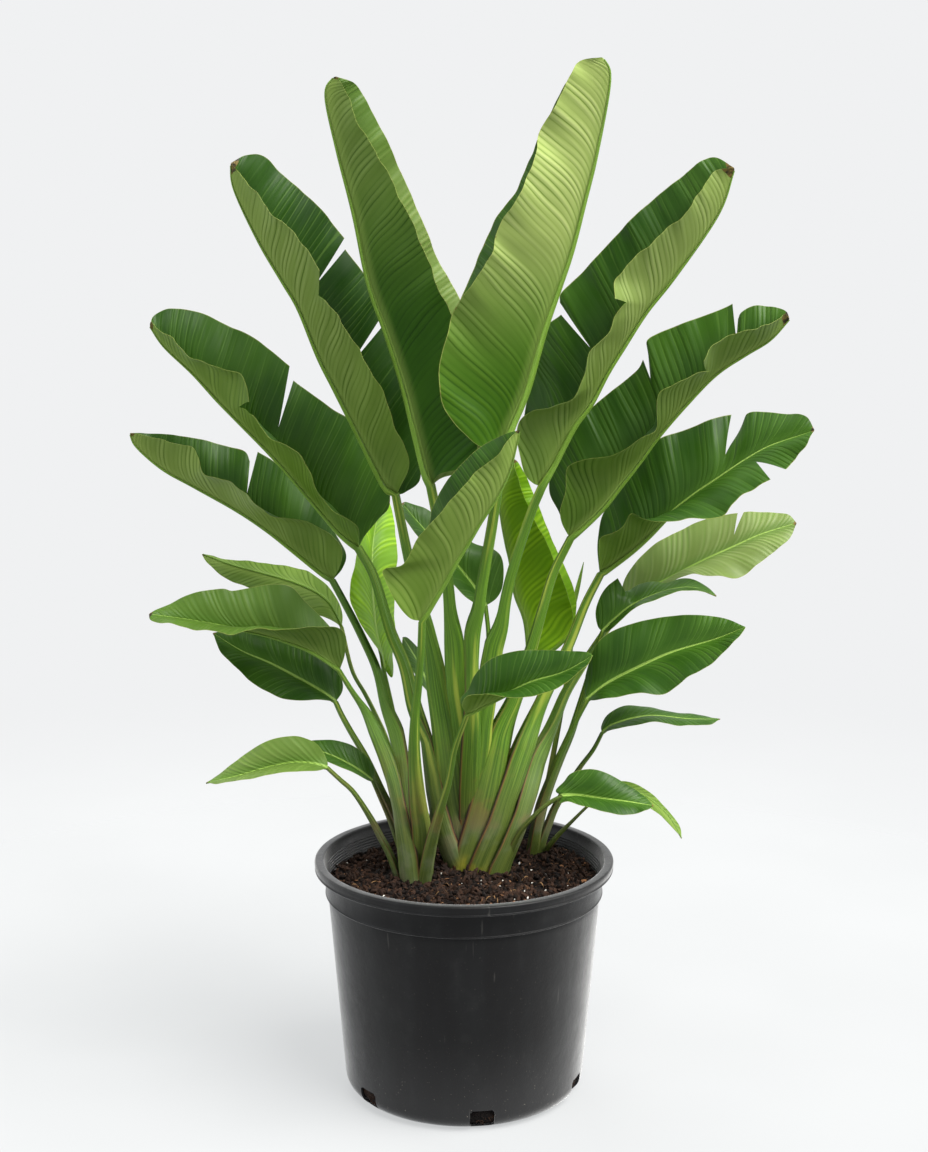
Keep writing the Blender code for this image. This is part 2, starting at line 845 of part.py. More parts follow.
def stalk_rings(leaf, upper, side):
    """The stalk's rings from root to neck, with the share of its height where each lies in the drawing."""
    line = stalk_curve(leaf)
    count = max(4, round(line.lengths[-1] / STALK_RING_STEP))
    bottom, top = leaf["stalk_width"]
    rings = []
    for step in range(count, -1, -1):
        share = step / count
        along = line.direction(share)
        upper = unit(upper - along * np.dot(upper, along))
        side = unit(side - along * np.dot(side, along) - upper * np.dot(side, upper))
        half = (bottom + (top - bottom) * share) / 2
        rings.append((line.at(share), along, upper, side, half))
    return rings[::-1]


def height_of(leaf):
    """The real height at which this leaf leaves its clump."""
    level = SHOOTS[leaf["shoot"]]["open_above"]
    return seen((EYE_CENTRE[0], level), leaf["root"][1])[2]


def split_stalk(leaf, upper, side):
    """Rings of the stalk's foot, which is grown into the clump, and of its free part, GAP apart."""
    rings = stalk_rings(leaf, upper, side)
    level = min(height_of(leaf), SOIL_TOP + 0.6 * (rings[-1][0][2] - SOIL_TOP))
    line = stalk_curve(leaf)
    shares = np.linspace(0, 1, 400)
    cut = next(share for share in shares if line.at(share)[2] >= level)
    bottom, top = leaf["stalk_width"]
    along = line.direction(cut)
    closest = min(rings, key=lambda r: abs(r[0][2] - level))
    upper = unit(closest[2] - along * np.dot(closest[2], along))
    side = unit(closest[3] - along * np.dot(closest[3], along) - upper * np.dot(closest[3], upper))
    half = (bottom + (top - bottom) * cut) / 2
    joint = (line.at(cut), along, upper, side, half)
    clear = STALK_RING_STEP / 3
    lower = [r for r in rings if np.dot(r[0] - joint[0], along) < -clear and r[0][2] < level]
    higher = [r for r in rings if np.dot(r[0] - joint[0], along) > clear and r[0][2] > level]
    under = (joint[0] - along * GAP / 2, *joint[1:])
    over = (joint[0] + along * GAP / 2, *joint[1:])
    return [*lower, under], [over, *higher]


def section(found):
    centre, _, upper, side, half = found
    return ring(centre, upper, side, half, half * 0.9)


def leaf_mesh(leaf):
    """One leaf from where it leaves its clump to its tip, and the rings of its foot."""
    tears = leaf.get("near_tears", []) + leaf.get("far_tears", [])
    shares = stations(tears, leaf.get("rows", BLADE_ROWS))
    near = half_rows(leaf, "near", shares, BLADE_COLUMNS)
    far = half_rows(leaf, "far", shares, BLADE_COLUMNS)
    last = len(shares) - 1
    along, across, inside = {}, {}, {}
    middle = {row["row"]: row["rib"] for row in near}
    middle[0] = seen(leaf["neck"], leaf["depth"][0])
    middle[last] = seen(leaf["tip"], leaf["depth"][2])
    for i in range(1, last):
        along[i] = unit(middle[i + 1] - middle[i - 1])
        outs = [next(r for r in half if r["row"] == i) for half in (near, far)]
        apart = outs[0]["edge"] - outs[1]["edge"]
        across[i] = unit(apart - along[i] * np.dot(apart, along[i]))
        inside[i] = np.cross(along[i], across[i])
    lean = 0.0
    for i in range(1, last):
        outs = [next(r for r in half if r["row"] == i)["edge"] - middle[i] for half in (near, far)]
        lean += np.dot(inside[i], outs[0] + outs[1])
    hand = 1.0 if lean > 0 else -1.0
    inside = {i: v * hand for i, v in inside.items()}
    arch(near, along, hand)
    arch(far, along, -hand)

    foot, free = split_stalk(leaf, inside[1], across[1])
    mesh = bmesh.new()
    new = mesh.verts.new

    def face(*corners):
        if len(set(corners)) == len(corners):
            mesh.faces.new(corners)

    loops = [[new(p) for p in section(found)] for found in free]
    for lower, higher in zip(loops, loops[1:]):
        for i in range(6):
            j = (i + 1) % 6
            face(lower[i], lower[j], higher[j], higher[i])
    mesh.faces.new(loops[0])

    neck_half = leaf["stalk_width"][1] / 2
    tops, keels, flanks = {}, {}, {"near": {}, "far": {}}
    for i in range(1, last):
        share = shares[i]
        deep = neck_half * 0.9 * (1 - share) ** 0.8 + RIB_TIP_DEPTH * share
        tops[i] = new(middle[i] + inside[i] * (0.3 * deep + BLADE_THICKNESS / 2))
        keels[i] = new(middle[i] - inside[i] * deep)
        for name, half in (("near", near), ("far", far)):
            row = next(r for r in half if r["row"] == i)
            out = unit(row["edge"] - middle[i])
            flanks[name][i] = new(middle[i] + out * 0.6 * deep - row["normal"] * 0.5 * deep)

    for name, half, turn in (("near", near, 1), ("far", far, 5)):
        own = flanks[name]
        previous = None
        for row in half:
            i = row["row"]
            shift = row["normal"] * BLADE_THICKNESS / 2
            top = [tops[i]]
            low = [own[i]]
            twin = previous if previous is not None and previous["row"] == i else None
            for j in range(1, BLADE_COLUMNS + 1):
                if twin is not None and j <= row["torn"]:
                    top.append(twin["top"][j])
                    low.append(twin["low"][j])
                    continue
                top.append(new(row["points"][j] + shift))
                low.append(new(row["points"][j] - shift))
            row["top"], row["low"] = top, low
            if twin is not None:
                for torn in (twin, row):
                    for j in range(row["torn"], BLADE_COLUMNS):
                        face(torn["top"][j], torn["top"][j + 1], torn["low"][j + 1])
                        face(torn["top"][j], torn["low"][j + 1], torn["low"][j])
            elif previous is not None:
                old = previous
                for j in range(BLADE_COLUMNS):
                    for skin in ("top", "low"):
                        a, b = old[skin], row[skin]
                        face(a[j], a[j + 1], b[j + 1])
                        face(a[j], b[j + 1], b[j])
                face(old["top"][-1], row["top"][-1], row["low"][-1])
                face(old["top"][-1], row["low"][-1], old["low"][-1])
            previous = row
        first, neck = half[0], loops[-1]
        shoulder, flank = neck[turn], neck[2 if turn == 1 else 4]
        groove, keel = neck[0], neck[3]
        face(groove, shoulder, first["top"][1])
        face(groove, first["top"][1], first["top"][0])
        for j in range(1, BLADE_COLUMNS):
            face(shoulder, first["top"][j], first["top"][j + 1])
            face(shoulder, first["low"][j], first["low"][j + 1])
        face(shoulder, first["top"][-1], first["low"][-1])
        face(shoulder, first["low"][1], flank)
        face(flank, first["low"][1], own[1])
        face(flank, own[1], keels[1])
        face(flank, keels[1], keel)
        for i in range(1, last - 1):
            face(own[i], own[i + 1], keels[i + 1])
            face(own[i], keels[i + 1], keels[i])
    point = new(middle[last])
    end = last - 1
    around = [tops[end], *near[-1]["top"][1:], *near[-1]["low"][:0:-1], flanks["near"][end], keels[end]]
    around += [flanks["far"][end], *far[-1]["low"][1:], *far[-1]["top"][:0:-1]]
    for i, corner in enumerate(around):
        face(corner, around[(i + 1) % len(around)], point)
    bmesh.ops.recalc_face_normals(mesh, faces=mesh.faces)
    return mesh, foot


def spear_mesh(leaf):
    """The rolled leaf: a round shaft that ends in a point."""
    upper, side = np.array((0.0, -1.0, 0.0)), np.array((1.0, 0.0, 0.0))
    foot, free = split_stalk(leaf, upper, side)
    rings = [section(found) for found in free]
    tip = seen(leaf["tip"], leaf["depth"][2])
    neck = free[-1]
    middle = (neck[0] + tip) / 2
    rings.append(ring(middle, neck[2], neck[3], neck[4] * 0.7, neck[4] * 0.6))
    rings.append(ring(tip, neck[2], neck[3], 0.0008, 0.0008))
    return lofted(rings), foot


def material(name, colour, roughness):
    made = bpy.data.materials.new(name)
    made.use_nodes = True
    shader = made.node_tree.nodes["Principled BSDF"]
    shader.inputs["Base Color"].default_value = colour
    shader.inputs["Roughness"].default_value = roughness
    shader.inputs["Metallic"].default_value = 0.0
    return made


def add(name, mesh, finish, smooth=True):
    """Makes one named object of a bmesh."""
    data = bpy.data.meshes.new(name)
    mesh.to_mesh(data)
    mesh.free()
    made = bpy.data.objects.new(name, data)
    bpy.context.scene.collection.objects.link(made)
    data.materials.append(finish)
    if smooth:
        data.shade_smooth()
        data.set_sharp_from_angle(angle=math.radians(40))
    return made


def apply_modifiers(made):
    """Gives the object its evaluated mesh."""
    graph = bpy.context.evaluated_depsgraph_get()
    data = bpy.data.meshes.new_from_object(made.evaluated_get(graph))
    made.modifiers.clear()
    made.data = data


def turned(profile, sides):
    """A closed body turned round Z from a profile of (radius, height) that starts and ends on the axis."""
    mesh = bmesh.new()
    verts = [mesh.verts.new((radius, 0.0, height)) for radius, height in profile]
    edges = [mesh.edges.new(pair) for pair in zip(verts, verts[1:])]
    bmesh.ops.spin(
        mesh,
        geom=[*verts, *edges],
        cent=(0.0, 0.0, 0.0),
        axis=(0.0, 0.0, 1.0),
        angle=math.tau,
        steps=sides,
        use_duplicate=False,
    )
    bmesh.ops.remove_doubles(mesh, verts=mesh.verts, dist=1e-5)
    bmesh.ops.recalc_face_normals(mesh, faces=mesh.faces)
    return mesh


def wall_radius(height):
    """The outer wall's radius under the collar."""
    return BASE_RADIUS + (WALL_TOP_RADIUS - BASE_RADIUS) * height / COLLAR_BOTTOM


def inner_radius(height):
    return wall_radius(height) - WALL


def pot_profile():
    """From the middle of the floor out, up the inside, over the lip, down the outside and back in."""
    under_lip = POT_HEIGHT - LIP_HEIGHT
    inside = [
        (0.0, WALL),
        (BASE_RADIUS - HEEL_RADIUS, WALL),
        (inner_radius(HEEL_RADIUS * 0.55) - 0.003, HEEL_RADIUS * 0.45),
        (inner_radius(HEEL_RADIUS * 1.4), HEEL_RADIUS * 1.4),
        (inner_radius(COLLAR_BOTTOM), COLLAR_BOTTOM),
        (COLLAR_RADIUS - WALL, COLLAR_BOTTOM + 0.004),
        (COLLAR_TOP_RADIUS - WALL, under_lip + 0.002),
        (RIM_RADIUS - 0.0105, POT_HEIGHT - 0.002),
        (RIM_RADIUS - 0.0090, POT_HEIGHT),
    ]
    outside = [
        (RIM_RADIUS - 0.0020, POT_HEIGHT),
        (RIM_RADIUS, POT_HEIGHT - 0.0020),
        (RIM_RADIUS - 0.0006, under_lip + 0.0006),
        (RIM_RADIUS - 0.0022, under_lip),
        (COLLAR_TOP_RADIUS, under_lip),
        (COLLAR_RADIUS, COLLAR_BOTTOM),
        (WALL_TOP_RADIUS, COLLAR_BOTTOM - 0.0012),
    ]
    heel = []
    for step in range(HEEL_STEPS + 1):
        angle = math.pi / 2 * step / HEEL_STEPS
        centre = wall_radius(HEEL_RADIUS) - HEEL_RADIUS
        height = HEEL_RADIUS * (1 - math.sin(angle))
        heel.append((centre + HEEL_RADIUS * math.cos(angle), height))
    return [*inside, *outside, *heel, (0.0, 0.0)]


def box_mesh(size):
    mesh = bmesh.new()
    bmesh.ops.create_cube(mesh, size=1.0)
    bmesh.ops.scale(mesh, vec=size, verts=mesh.verts)
    return mesh


def cut(body, cutters):
    """Takes the cutters' shapes out of a body."""
    for cutter in cutters:
        cutter.hide_render = True
        cutter.display_type = "WIRE"
        modifier = body.modifiers.new("cut", "BOOLEAN")
        modifier.operation = "DIFFERENCE"
        modifier.object = cutter
    apply_modifiers(body)
    for cutter in cutters:
        bpy.data.objects.remove(cutter)


def make_pot():
    plastic = material("black_plastic", POT_COLOUR, 0.45)
    pot = add("pot", turned(pot_profile(), POT_SIDES), plastic)
    slots = []
    for number in range(DRAIN_SLOTS):
        angle = DRAIN_TURN + math.tau * number / DRAIN_SLOTS
        mesh = box_mesh((DRAIN_WIDTH, DRAIN_REACH, DRAIN_HEIGHT))
        slot = add("drain_slot_cutter", mesh, plastic, smooth=False)
        out = wall_radius(0.0) - DRAIN_REACH * 0.2
        slot.location = (math.sin(angle) * out, -math.cos(angle) * out, DRAIN_HEIGHT * 0.58 + 0.003)
        slot.rotation_euler.z = angle
        slots.append(slot)
    bpy.context.view_layer.update()
    cut(pot, slots)
    return pot


def soil_mesh():
    """Potting mix: a plug that fits the pot, with an uneven top."""
    draw = np.random.default_rng(SOIL_SEED)
    mesh = bmesh.new()

    def circle(radius, heights):
        turns = np.arange(SOIL_SIDES) * math.tau / SOIL_SIDES
        return [
            mesh.verts.new((radius * math.sin(a), -radius * math.cos(a), h)) for a, h in zip(turns, heights)
        ]

    clear = GAP * 1.5 + 0.0004
    side_levels = [
        (BASE_RADIUS - HEEL_RADIUS - 0.002, WALL + GAP),
        (inner_radius(HEEL_RADIUS * 1.4) - clear - 0.004, HEEL_RADIUS * 1.4),
        (inner_radius(0.10) - clear, 0.10),
        (inner_radius(COLLAR_BOTTOM) - clear, COLLAR_BOTTOM),
    ]
    loops = [circle(radius, [height] * SOIL_SIDES) for radius, height in side_levels]
    edge = COLLAR_RADIUS - WALL - clear - 0.001
    for number in range(SOIL_RINGS):
        share = 1 - number / SOIL_RINGS
        drop = SOIL_EDGE_DROP * share**4
        lumps = draw.uniform(-SOIL_LUMP, SOIL_LUMP, SOIL_SIDES)
        loops.append(circle(edge * share, SOIL_TOP - drop + lumps))
    for lower, higher in zip(loops, loops[1:]):
        for i in range(SOIL_SIDES):
            j = (i + 1) % SOIL_SIDES
            mesh.faces.new((lower[i], lower[j], higher[j]))
            mesh.faces.new((lower[i], higher[j], higher[i]))
    middle = mesh.verts.new((0.0, 0.0, SOIL_TOP))
    for i in range(SOIL_SIDES):
        mesh.faces.new((loops[-1][i], loops[-1][(i + 1) % SOIL_SIDES], middle))
    mesh.faces.new(loops[0])
    bmesh.ops.recalc_face_normals(mesh, faces=mesh.faces)
    return mesh


def oval_mesh(shoot, grow, bottom, top):
    """An upright oval plug: a clump's foot, or the hole that it stands in."""
    centre, half = shoot["centre"], shoot["half"]
    turns = np.arange(SHOOT_SIDES) * math.tau / SHOOT_SIDES
    rings = []
    for height in (bottom, top):
        ring_points = []
        for a in turns:
            x = centre[0] + (half[0] + grow) * math.cos(a)
            y = centre[1] + (half[1] + grow) * math.sin(a)
            ring_points.append(np.array((x, y, height)))
        rings.append(ring_points)
    return lofted(rings)


def make_soil():
    finish = material("potting_mix", SOIL_COLOUR, 0.95)
    soil = add("soil", soil_mesh(), finish, smooth=False)
    holes = []
    for shoot in SHOOTS.values():
        mesh = oval_mesh(shoot, GAP, SOIL_TOP - SHOOT_DEPTH - GAP, SOIL_TOP + 0.05)
        holes.append(add("stem_hole_cutter", mesh, finish, smooth=False))
    cut(soil, holes)
    return soil


def make_shoot(name, feet, finish):
    """A clump's foot: the feet of its leaves, grown together in an oval base."""
    shoot = SHOOTS[name]
    base = oval_mesh(shoot, 0.0, SOIL_TOP - SHOOT_DEPTH, SOIL_TOP + SHOOT_RISE)
    body = add(name, base, finish)
    parts = bpy.data.collections.new(name + "_feet")
    bpy.context.scene.collection.children.link(parts)
    for number, foot in enumerate(feet):
        stub = add(f"{name}_foot_{number}", lofted([section(found) for found in foot]), finish)
        bpy.context.scene.collection.objects.unlink(stub)
        parts.objects.link(stub)
    union = body.modifiers.new("grown_together", "BOOLEAN")
    union.operation = "UNION"
    union.solver = "MANIFOLD"
    union.operand_type = "COLLECTION"
    union.collection = parts
    apply_modifiers(body)
    for stub in list(parts.objects):
        bpy.data.objects.remove(stub)
    bpy.data.collections.remove(parts)
    body.data.shade_smooth()
    body.data.set_sharp_from_angle(angle=math.radians(40))
    return body


def main():
    for made in list(bpy.data.objects):
        bpy.data.objects.remove(made)
    make_pot()
    make_soil()
    blade = material("leaf_blade", LEAF_COLOUR, 0.45)
    sheath = material("leaf_sheath", SHOOT_COLOUR, 0.5)
    feet = {name: [] for name in SHOOTS}
    for name, leaf in LEAVES.items():
        mesh, foot = leaf_mesh(leaf)
        add(name, mesh, blade)
        feet[leaf["shoot"]].append(foot)
    mesh, foot = spear_mesh(SPEAR)
    add("leaf_rolled", mesh, blade)
    feet[SPEAR["shoot"]].append(foot)
    for name in SHOOTS:
        make_shoot(name, feet[name], sheath)


main()
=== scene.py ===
import math

import bmesh
import bpy
import numpy as np
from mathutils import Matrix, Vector


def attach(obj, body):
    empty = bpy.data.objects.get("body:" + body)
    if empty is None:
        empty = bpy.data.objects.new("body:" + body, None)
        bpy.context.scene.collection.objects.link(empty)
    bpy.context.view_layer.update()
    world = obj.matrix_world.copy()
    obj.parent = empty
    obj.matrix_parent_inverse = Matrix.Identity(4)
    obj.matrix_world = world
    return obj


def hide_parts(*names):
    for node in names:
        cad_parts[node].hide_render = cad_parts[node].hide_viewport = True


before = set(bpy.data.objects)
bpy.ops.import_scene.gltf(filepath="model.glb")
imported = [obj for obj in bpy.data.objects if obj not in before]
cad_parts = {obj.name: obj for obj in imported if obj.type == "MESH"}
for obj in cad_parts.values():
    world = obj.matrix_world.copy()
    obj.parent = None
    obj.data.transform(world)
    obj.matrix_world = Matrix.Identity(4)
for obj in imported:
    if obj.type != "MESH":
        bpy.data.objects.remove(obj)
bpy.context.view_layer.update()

# The pot, in metres: the CAD's own sizes, with finer edges and ridges drawn between them
RIM_RADIUS = 0.180
POT_HEIGHT = 0.285
LIP_HEIGHT = 0.0115
COLLAR_TOP_RADIUS = 0.1685
COLLAR_RADIUS = 0.1665
COLLAR_BOTTOM = 0.2430
WALL_TOP_RADIUS = 0.1640
BASE_RADIUS = 0.1438
HEEL_RADIUS = 0.020
WALL = 0.0024
POT_SIDES = 176
DRAIN_SLOTS = 6
DRAIN_WIDTH = 0.029
DRAIN_HEIGHT = 0.023
DRAIN_REACH = 0.024
DRAIN_TURN = math.radians(8.5)
SOIL_TOP = 0.2620

# The photographer's camera: place, tilt down, and focal length and middle in drawing pixels
EYE = np.array((0.0, -2.1, 0.986))
EYE_PITCH = math.radians(9.68)
EYE_FOCAL = 1811.0
EYE_CENTRE = (464.3, 576.0)
FRAME_HEIGHT = 1152
FORWARD = np.array((0.0, math.cos(EYE_PITCH), -math.sin(EYE_PITCH)))
UPWARD = np.array((0.0, math.sin(EYE_PITCH), math.cos(EYE_PITCH)))
SOIL_LINE = 872.0
YELLOW_SPOT = (472, 868)

# The leaves: the same rules as the CAD's, with finer rows and a thinner blade
SOLID_ROWS = 11
SOLID_COLUMNS = 3
BLADE_THICKNESS = 0.0007
BLADE_BOW = 0.07
MIN_TURN = 0.22
TEAR_REACH = 0.05
VEIN_SLANT = 0.45
VEIN_GAP = 0.0078
VEIN_BEND = 0.018
VEIN_BEND_REACH = 0.011
BLADE_WAVES = [(0.118, 0.0026), (0.057, 0.0016), (0.026, 0.0006)]
RIB_TIP_DEPTH = 0.0012
SHOOT_DEPTH = 0.030
ROD_SIDES = 13
ROD_GROOVE = 8
WING = 0.10
DEEPER = 0.34
FOLD_GAP = 0.0012
SECTION_TURN = math.radians(118)
SHEATH_SIDES = 29
SHEATH_GROOVE = 16

# Soft suns: name, the way to each, strength, how wide it is in degrees, and tint
LIGHTS = [
    ("key_light", (0.95, -0.62, 1.65), 8.2, 46, (1.0, 0.985, 0.95)),
    ("left_light", (-1.8, -0.45, 0.6), 1.3, 50, (0.93, 0.97, 1.0)),
    ("right_light", (1.9, 0.2, 0.5), 1.5, 40, (1.0, 1.0, 0.98)),
    ("back_light", (-0.7, 1.5, 1.6), 2.0, 40, (1.0, 1.0, 0.98)),
]

# The floor's own grey and its glow, so that it comes out as pale as what is behind it, its shadows faint
FLOOR_GREY = (0.112, 0.118)
FLOOR_GLOW = 0.54

# Tints of single leaves' skins at the foot and at the tip: how young (bright yellow green, brightened as a
# painted glow of light through the leaf), how pale (a whitish bloom, and painted light where a blade faces
# the lamps) and how deep a green (painted shade), and between which shares of the midrib the one turns
# into the other
PLAIN = ((0.0, 0.0, 0.0), (0.0, 0.0, 0.0))
# Young leaves' yellow green, brightened as a painted glow of light shining through them from behind
YOUNG_AND_BACKLIT = ((1.0, 0.0, 0.0), (1.0, 0.0, 0.0))
UPPER_TINTS_AND_PAINTED_LIGHT = {
    # Pale share on this upper skin: painted highlight where the far half catches the light
    "leaf_top_left": ((0.1, 0.35, 0.0), (0.1, 0.10, 0.0), 0.60, 0.95),
    "leaf_high_left": ((0.0, 0.0, 0.5), (0.0, 0.0, 0.6)),
    # Pale share on this upper skin: painted sheen on the open blade that faces the lamps
    "leaf_low_right": ((0.0, 0.30, 0.0), (0.0, 0.40, 0.0)),
    "leaf_side_left": ((0.1, 0.05, 0.0), (0.1, 0.10, 0.0)),
    "leaf_bottom_left": ((0.1, 0.20, 0.0), (0.1, 0.25, 0.0)),
    "leaf_front_small": ((0.0, 0.0, 0.3), (0.0, 0.0, 0.3)),
    "leaf_side_left_under": ((0.0, 0.0, 0.0), (0.0, 0.0, 0.2)),
    "leaf_back_left": YOUNG_AND_BACKLIT,
    "leaf_back_right": YOUNG_AND_BACKLIT,
}
LOWER_TINTS_AND_PAINTED_LIGHT = {
    # Dark share at this underside's foot: painted shade where the near half faces away from the light
    "leaf_top_left": ((0.0, 0.0, 1.0), (0.0, 0.25, 0.1), 0.35, 0.95),
    # Dark foot and pale tip on this underside: painted shade low on the blade, painted light higher up
    "leaf_top_right": ((0.1, 0.0, 1.0), (0.1, 1.0, 0.0), 0.12, 0.60),
    "leaf_high_left": ((0.0, 0.1, 0.2), (0.0, 0.3, 0.0)),
    "leaf_high_right": ((0.0, 0.1, 0.2), (0.0, 0.45, 0.0)),
    "leaf_mid_left": ((0.1, 0.0, 0.4), (0.1, 0.1, 0.1)),
    "leaf_mid_right": ((0.0, 0.0, 0.3), (0.0, 0.2, 0.2)),
    "leaf_spread_left": ((0.1, 0.15, 0.2), (0.1, 0.35, 0.0)),
    "leaf_front": ((0.15, 0.15, 0.1), (0.15, 0.35, 0.0)),
    "leaf_back_left": YOUNG_AND_BACKLIT,
    "leaf_back_right": YOUNG_AND_BACKLIT,
}

# How dry a leaf's tip is, 0 to 1; the others are between
DRY_TIPS = {
    "leaf_top_right": 0.0,
    "leaf_top_left": 0.3,
    "leaf_high_right": 1.0,
    "leaf_mid_right": 1.0,
    "leaf_high_left": 1.0,
    "leaf_oval_right": 0.1,
    "leaf_front_small": 0.0,
}

# Swells of a leaf's near half: where the vein on top starts, as a share of the midrib, height and reach
SWELLS = {
    "leaf_top_right": [(0.10, 0.0045, 0.013), (0.35, 0.0060, 0.015), (0.67, 0.0060, 0.015)],
}

# The sheaths, which wrap round each other: where the keel and the front margin of each run in the
# drawing, the depth of the middle of its foot, and how far its foot reaches to the front and back
SHEATHS = {
    "leaf_low_right": (
        [(561, 722), (546, 762), (538, 793), (526, 829), (513, 860), (508, 878)],
        [(549, 716), (536, 746), (527, 772), (515, 812), (501, 845), (490, 866), (486, 878)],
        0.020, 0.034,
    ),
    "leaf_spread_right": (
        [(547, 700), (536, 746), (525, 779), (517, 801), (510, 830), (500, 855), (492, 878)],
        [(530, 700), (520, 734), (511, 756), (500, 788), (489, 819), (478, 843), (469, 863), (464, 878)],
        0.020, 0.031,
    ),
    "leaf_mid_right": (
        [(519, 695), (517, 701), (511, 734), (507, 763), (503, 790), (497, 820), (488, 850), (480, 878)],
        [(500, 695), (497, 705), (488, 741), (476, 779), (468, 810), (460, 836), (454, 858), (452, 878)],
        0.020, 0.027,
    ),
    "leaf_mid_left": (
        [(407, 700), (416, 726), (421, 741), (426, 790), (431, 819), (440, 850), (447, 868), (450, 878)],
        [(421, 700), (428, 726), (433, 744), (441, 773), (447, 804), (456, 834), (467, 858), (476, 878)],
        0.022, 0.029,
    ),
    "leaf_high_left": (
        [(420, 626), (424, 647), (426, 684), (431, 722), (434, 750), (437, 790), (443, 830), (450, 862), (454, 878)],
        [(434, 626), (441, 652), (444, 666), (449, 688), (456, 722), (460, 747), (463, 765), (467, 797), (473, 830),
            (482, 878)],
        0.021, 0.025,
    ),
    "leaf_top_left": (
        [(443, 600), (444, 628), (445, 666), (447, 692), (451, 715), (455, 745), (459, 775), (464, 800),
            (468, 840), (468, 878)],
        [(457, 600), (461, 620), (466, 656), (468, 694), (471, 730), (474, 780), (476, 830), (474, 878)],
        0.022, 0.013,
    ),
    "leaf_high_right": (
        [(514, 600), (509, 628), (503, 652), (500, 680), (496, 705), (493, 726), (492, 742), (489, 775),
            (487, 810), (483, 850), (480, 878)],
        [(501, 600), (492, 628), (486, 641), (481, 666), (477, 690), (473, 715), (469, 745), (465, 780),
            (460, 815), (458, 850), (458, 878)],
        0.020, 0.021,
    ),
    "leaf_top_right": (
        [(484, 600), (481, 628), (479, 662), (480, 700), (481, 726), (481, 750), (480, 790), (478, 830), (476, 878)],
        [(470, 600), (464, 622), (464, 640), (465, 660), (465, 694), (463, 726), (461, 750), (459, 790), (459, 878)],
        0.020, 0.016,
    ),
    "leaf_side_left": (
        [(350, 690), (365, 723), (379, 759), (387, 783), (393, 810), (397, 845), (400, 878)],
        [(365, 690), (378, 723), (390, 748), (396, 763), (401, 779), (406, 803), (413, 832), (418, 854), (421, 878)],
        -0.011, 0.026,
    ),
    "leaf_spread_left": (
        [(378, 690), (386, 723), (392, 748), (398, 780), (403, 820), (408, 878)],
        [(394, 690), (399, 712), (404, 734), (408, 757), (412, 790), (416, 830), (419, 878)],
        -0.009, 0.019,
    ),
}

# Each clump's foot: centre and half axes of the oval that it fills in the soil, and the height, in the
# drawing, up to which its sheaths are grown together
SHOOTS = {
    "main_shoot": {"centre": (0.015, 0.022), "half": (0.05, 0.046), "open_above": 722.0},
    "left_shoot": {"centre": (-0.063, -0.009), "half": (0.034, 0.036), "open_above": 800.0},
    "right_shoot": {"centre": (0.092, 0.07), "half": (0.024, 0.02), "open_above": 822.0},
}

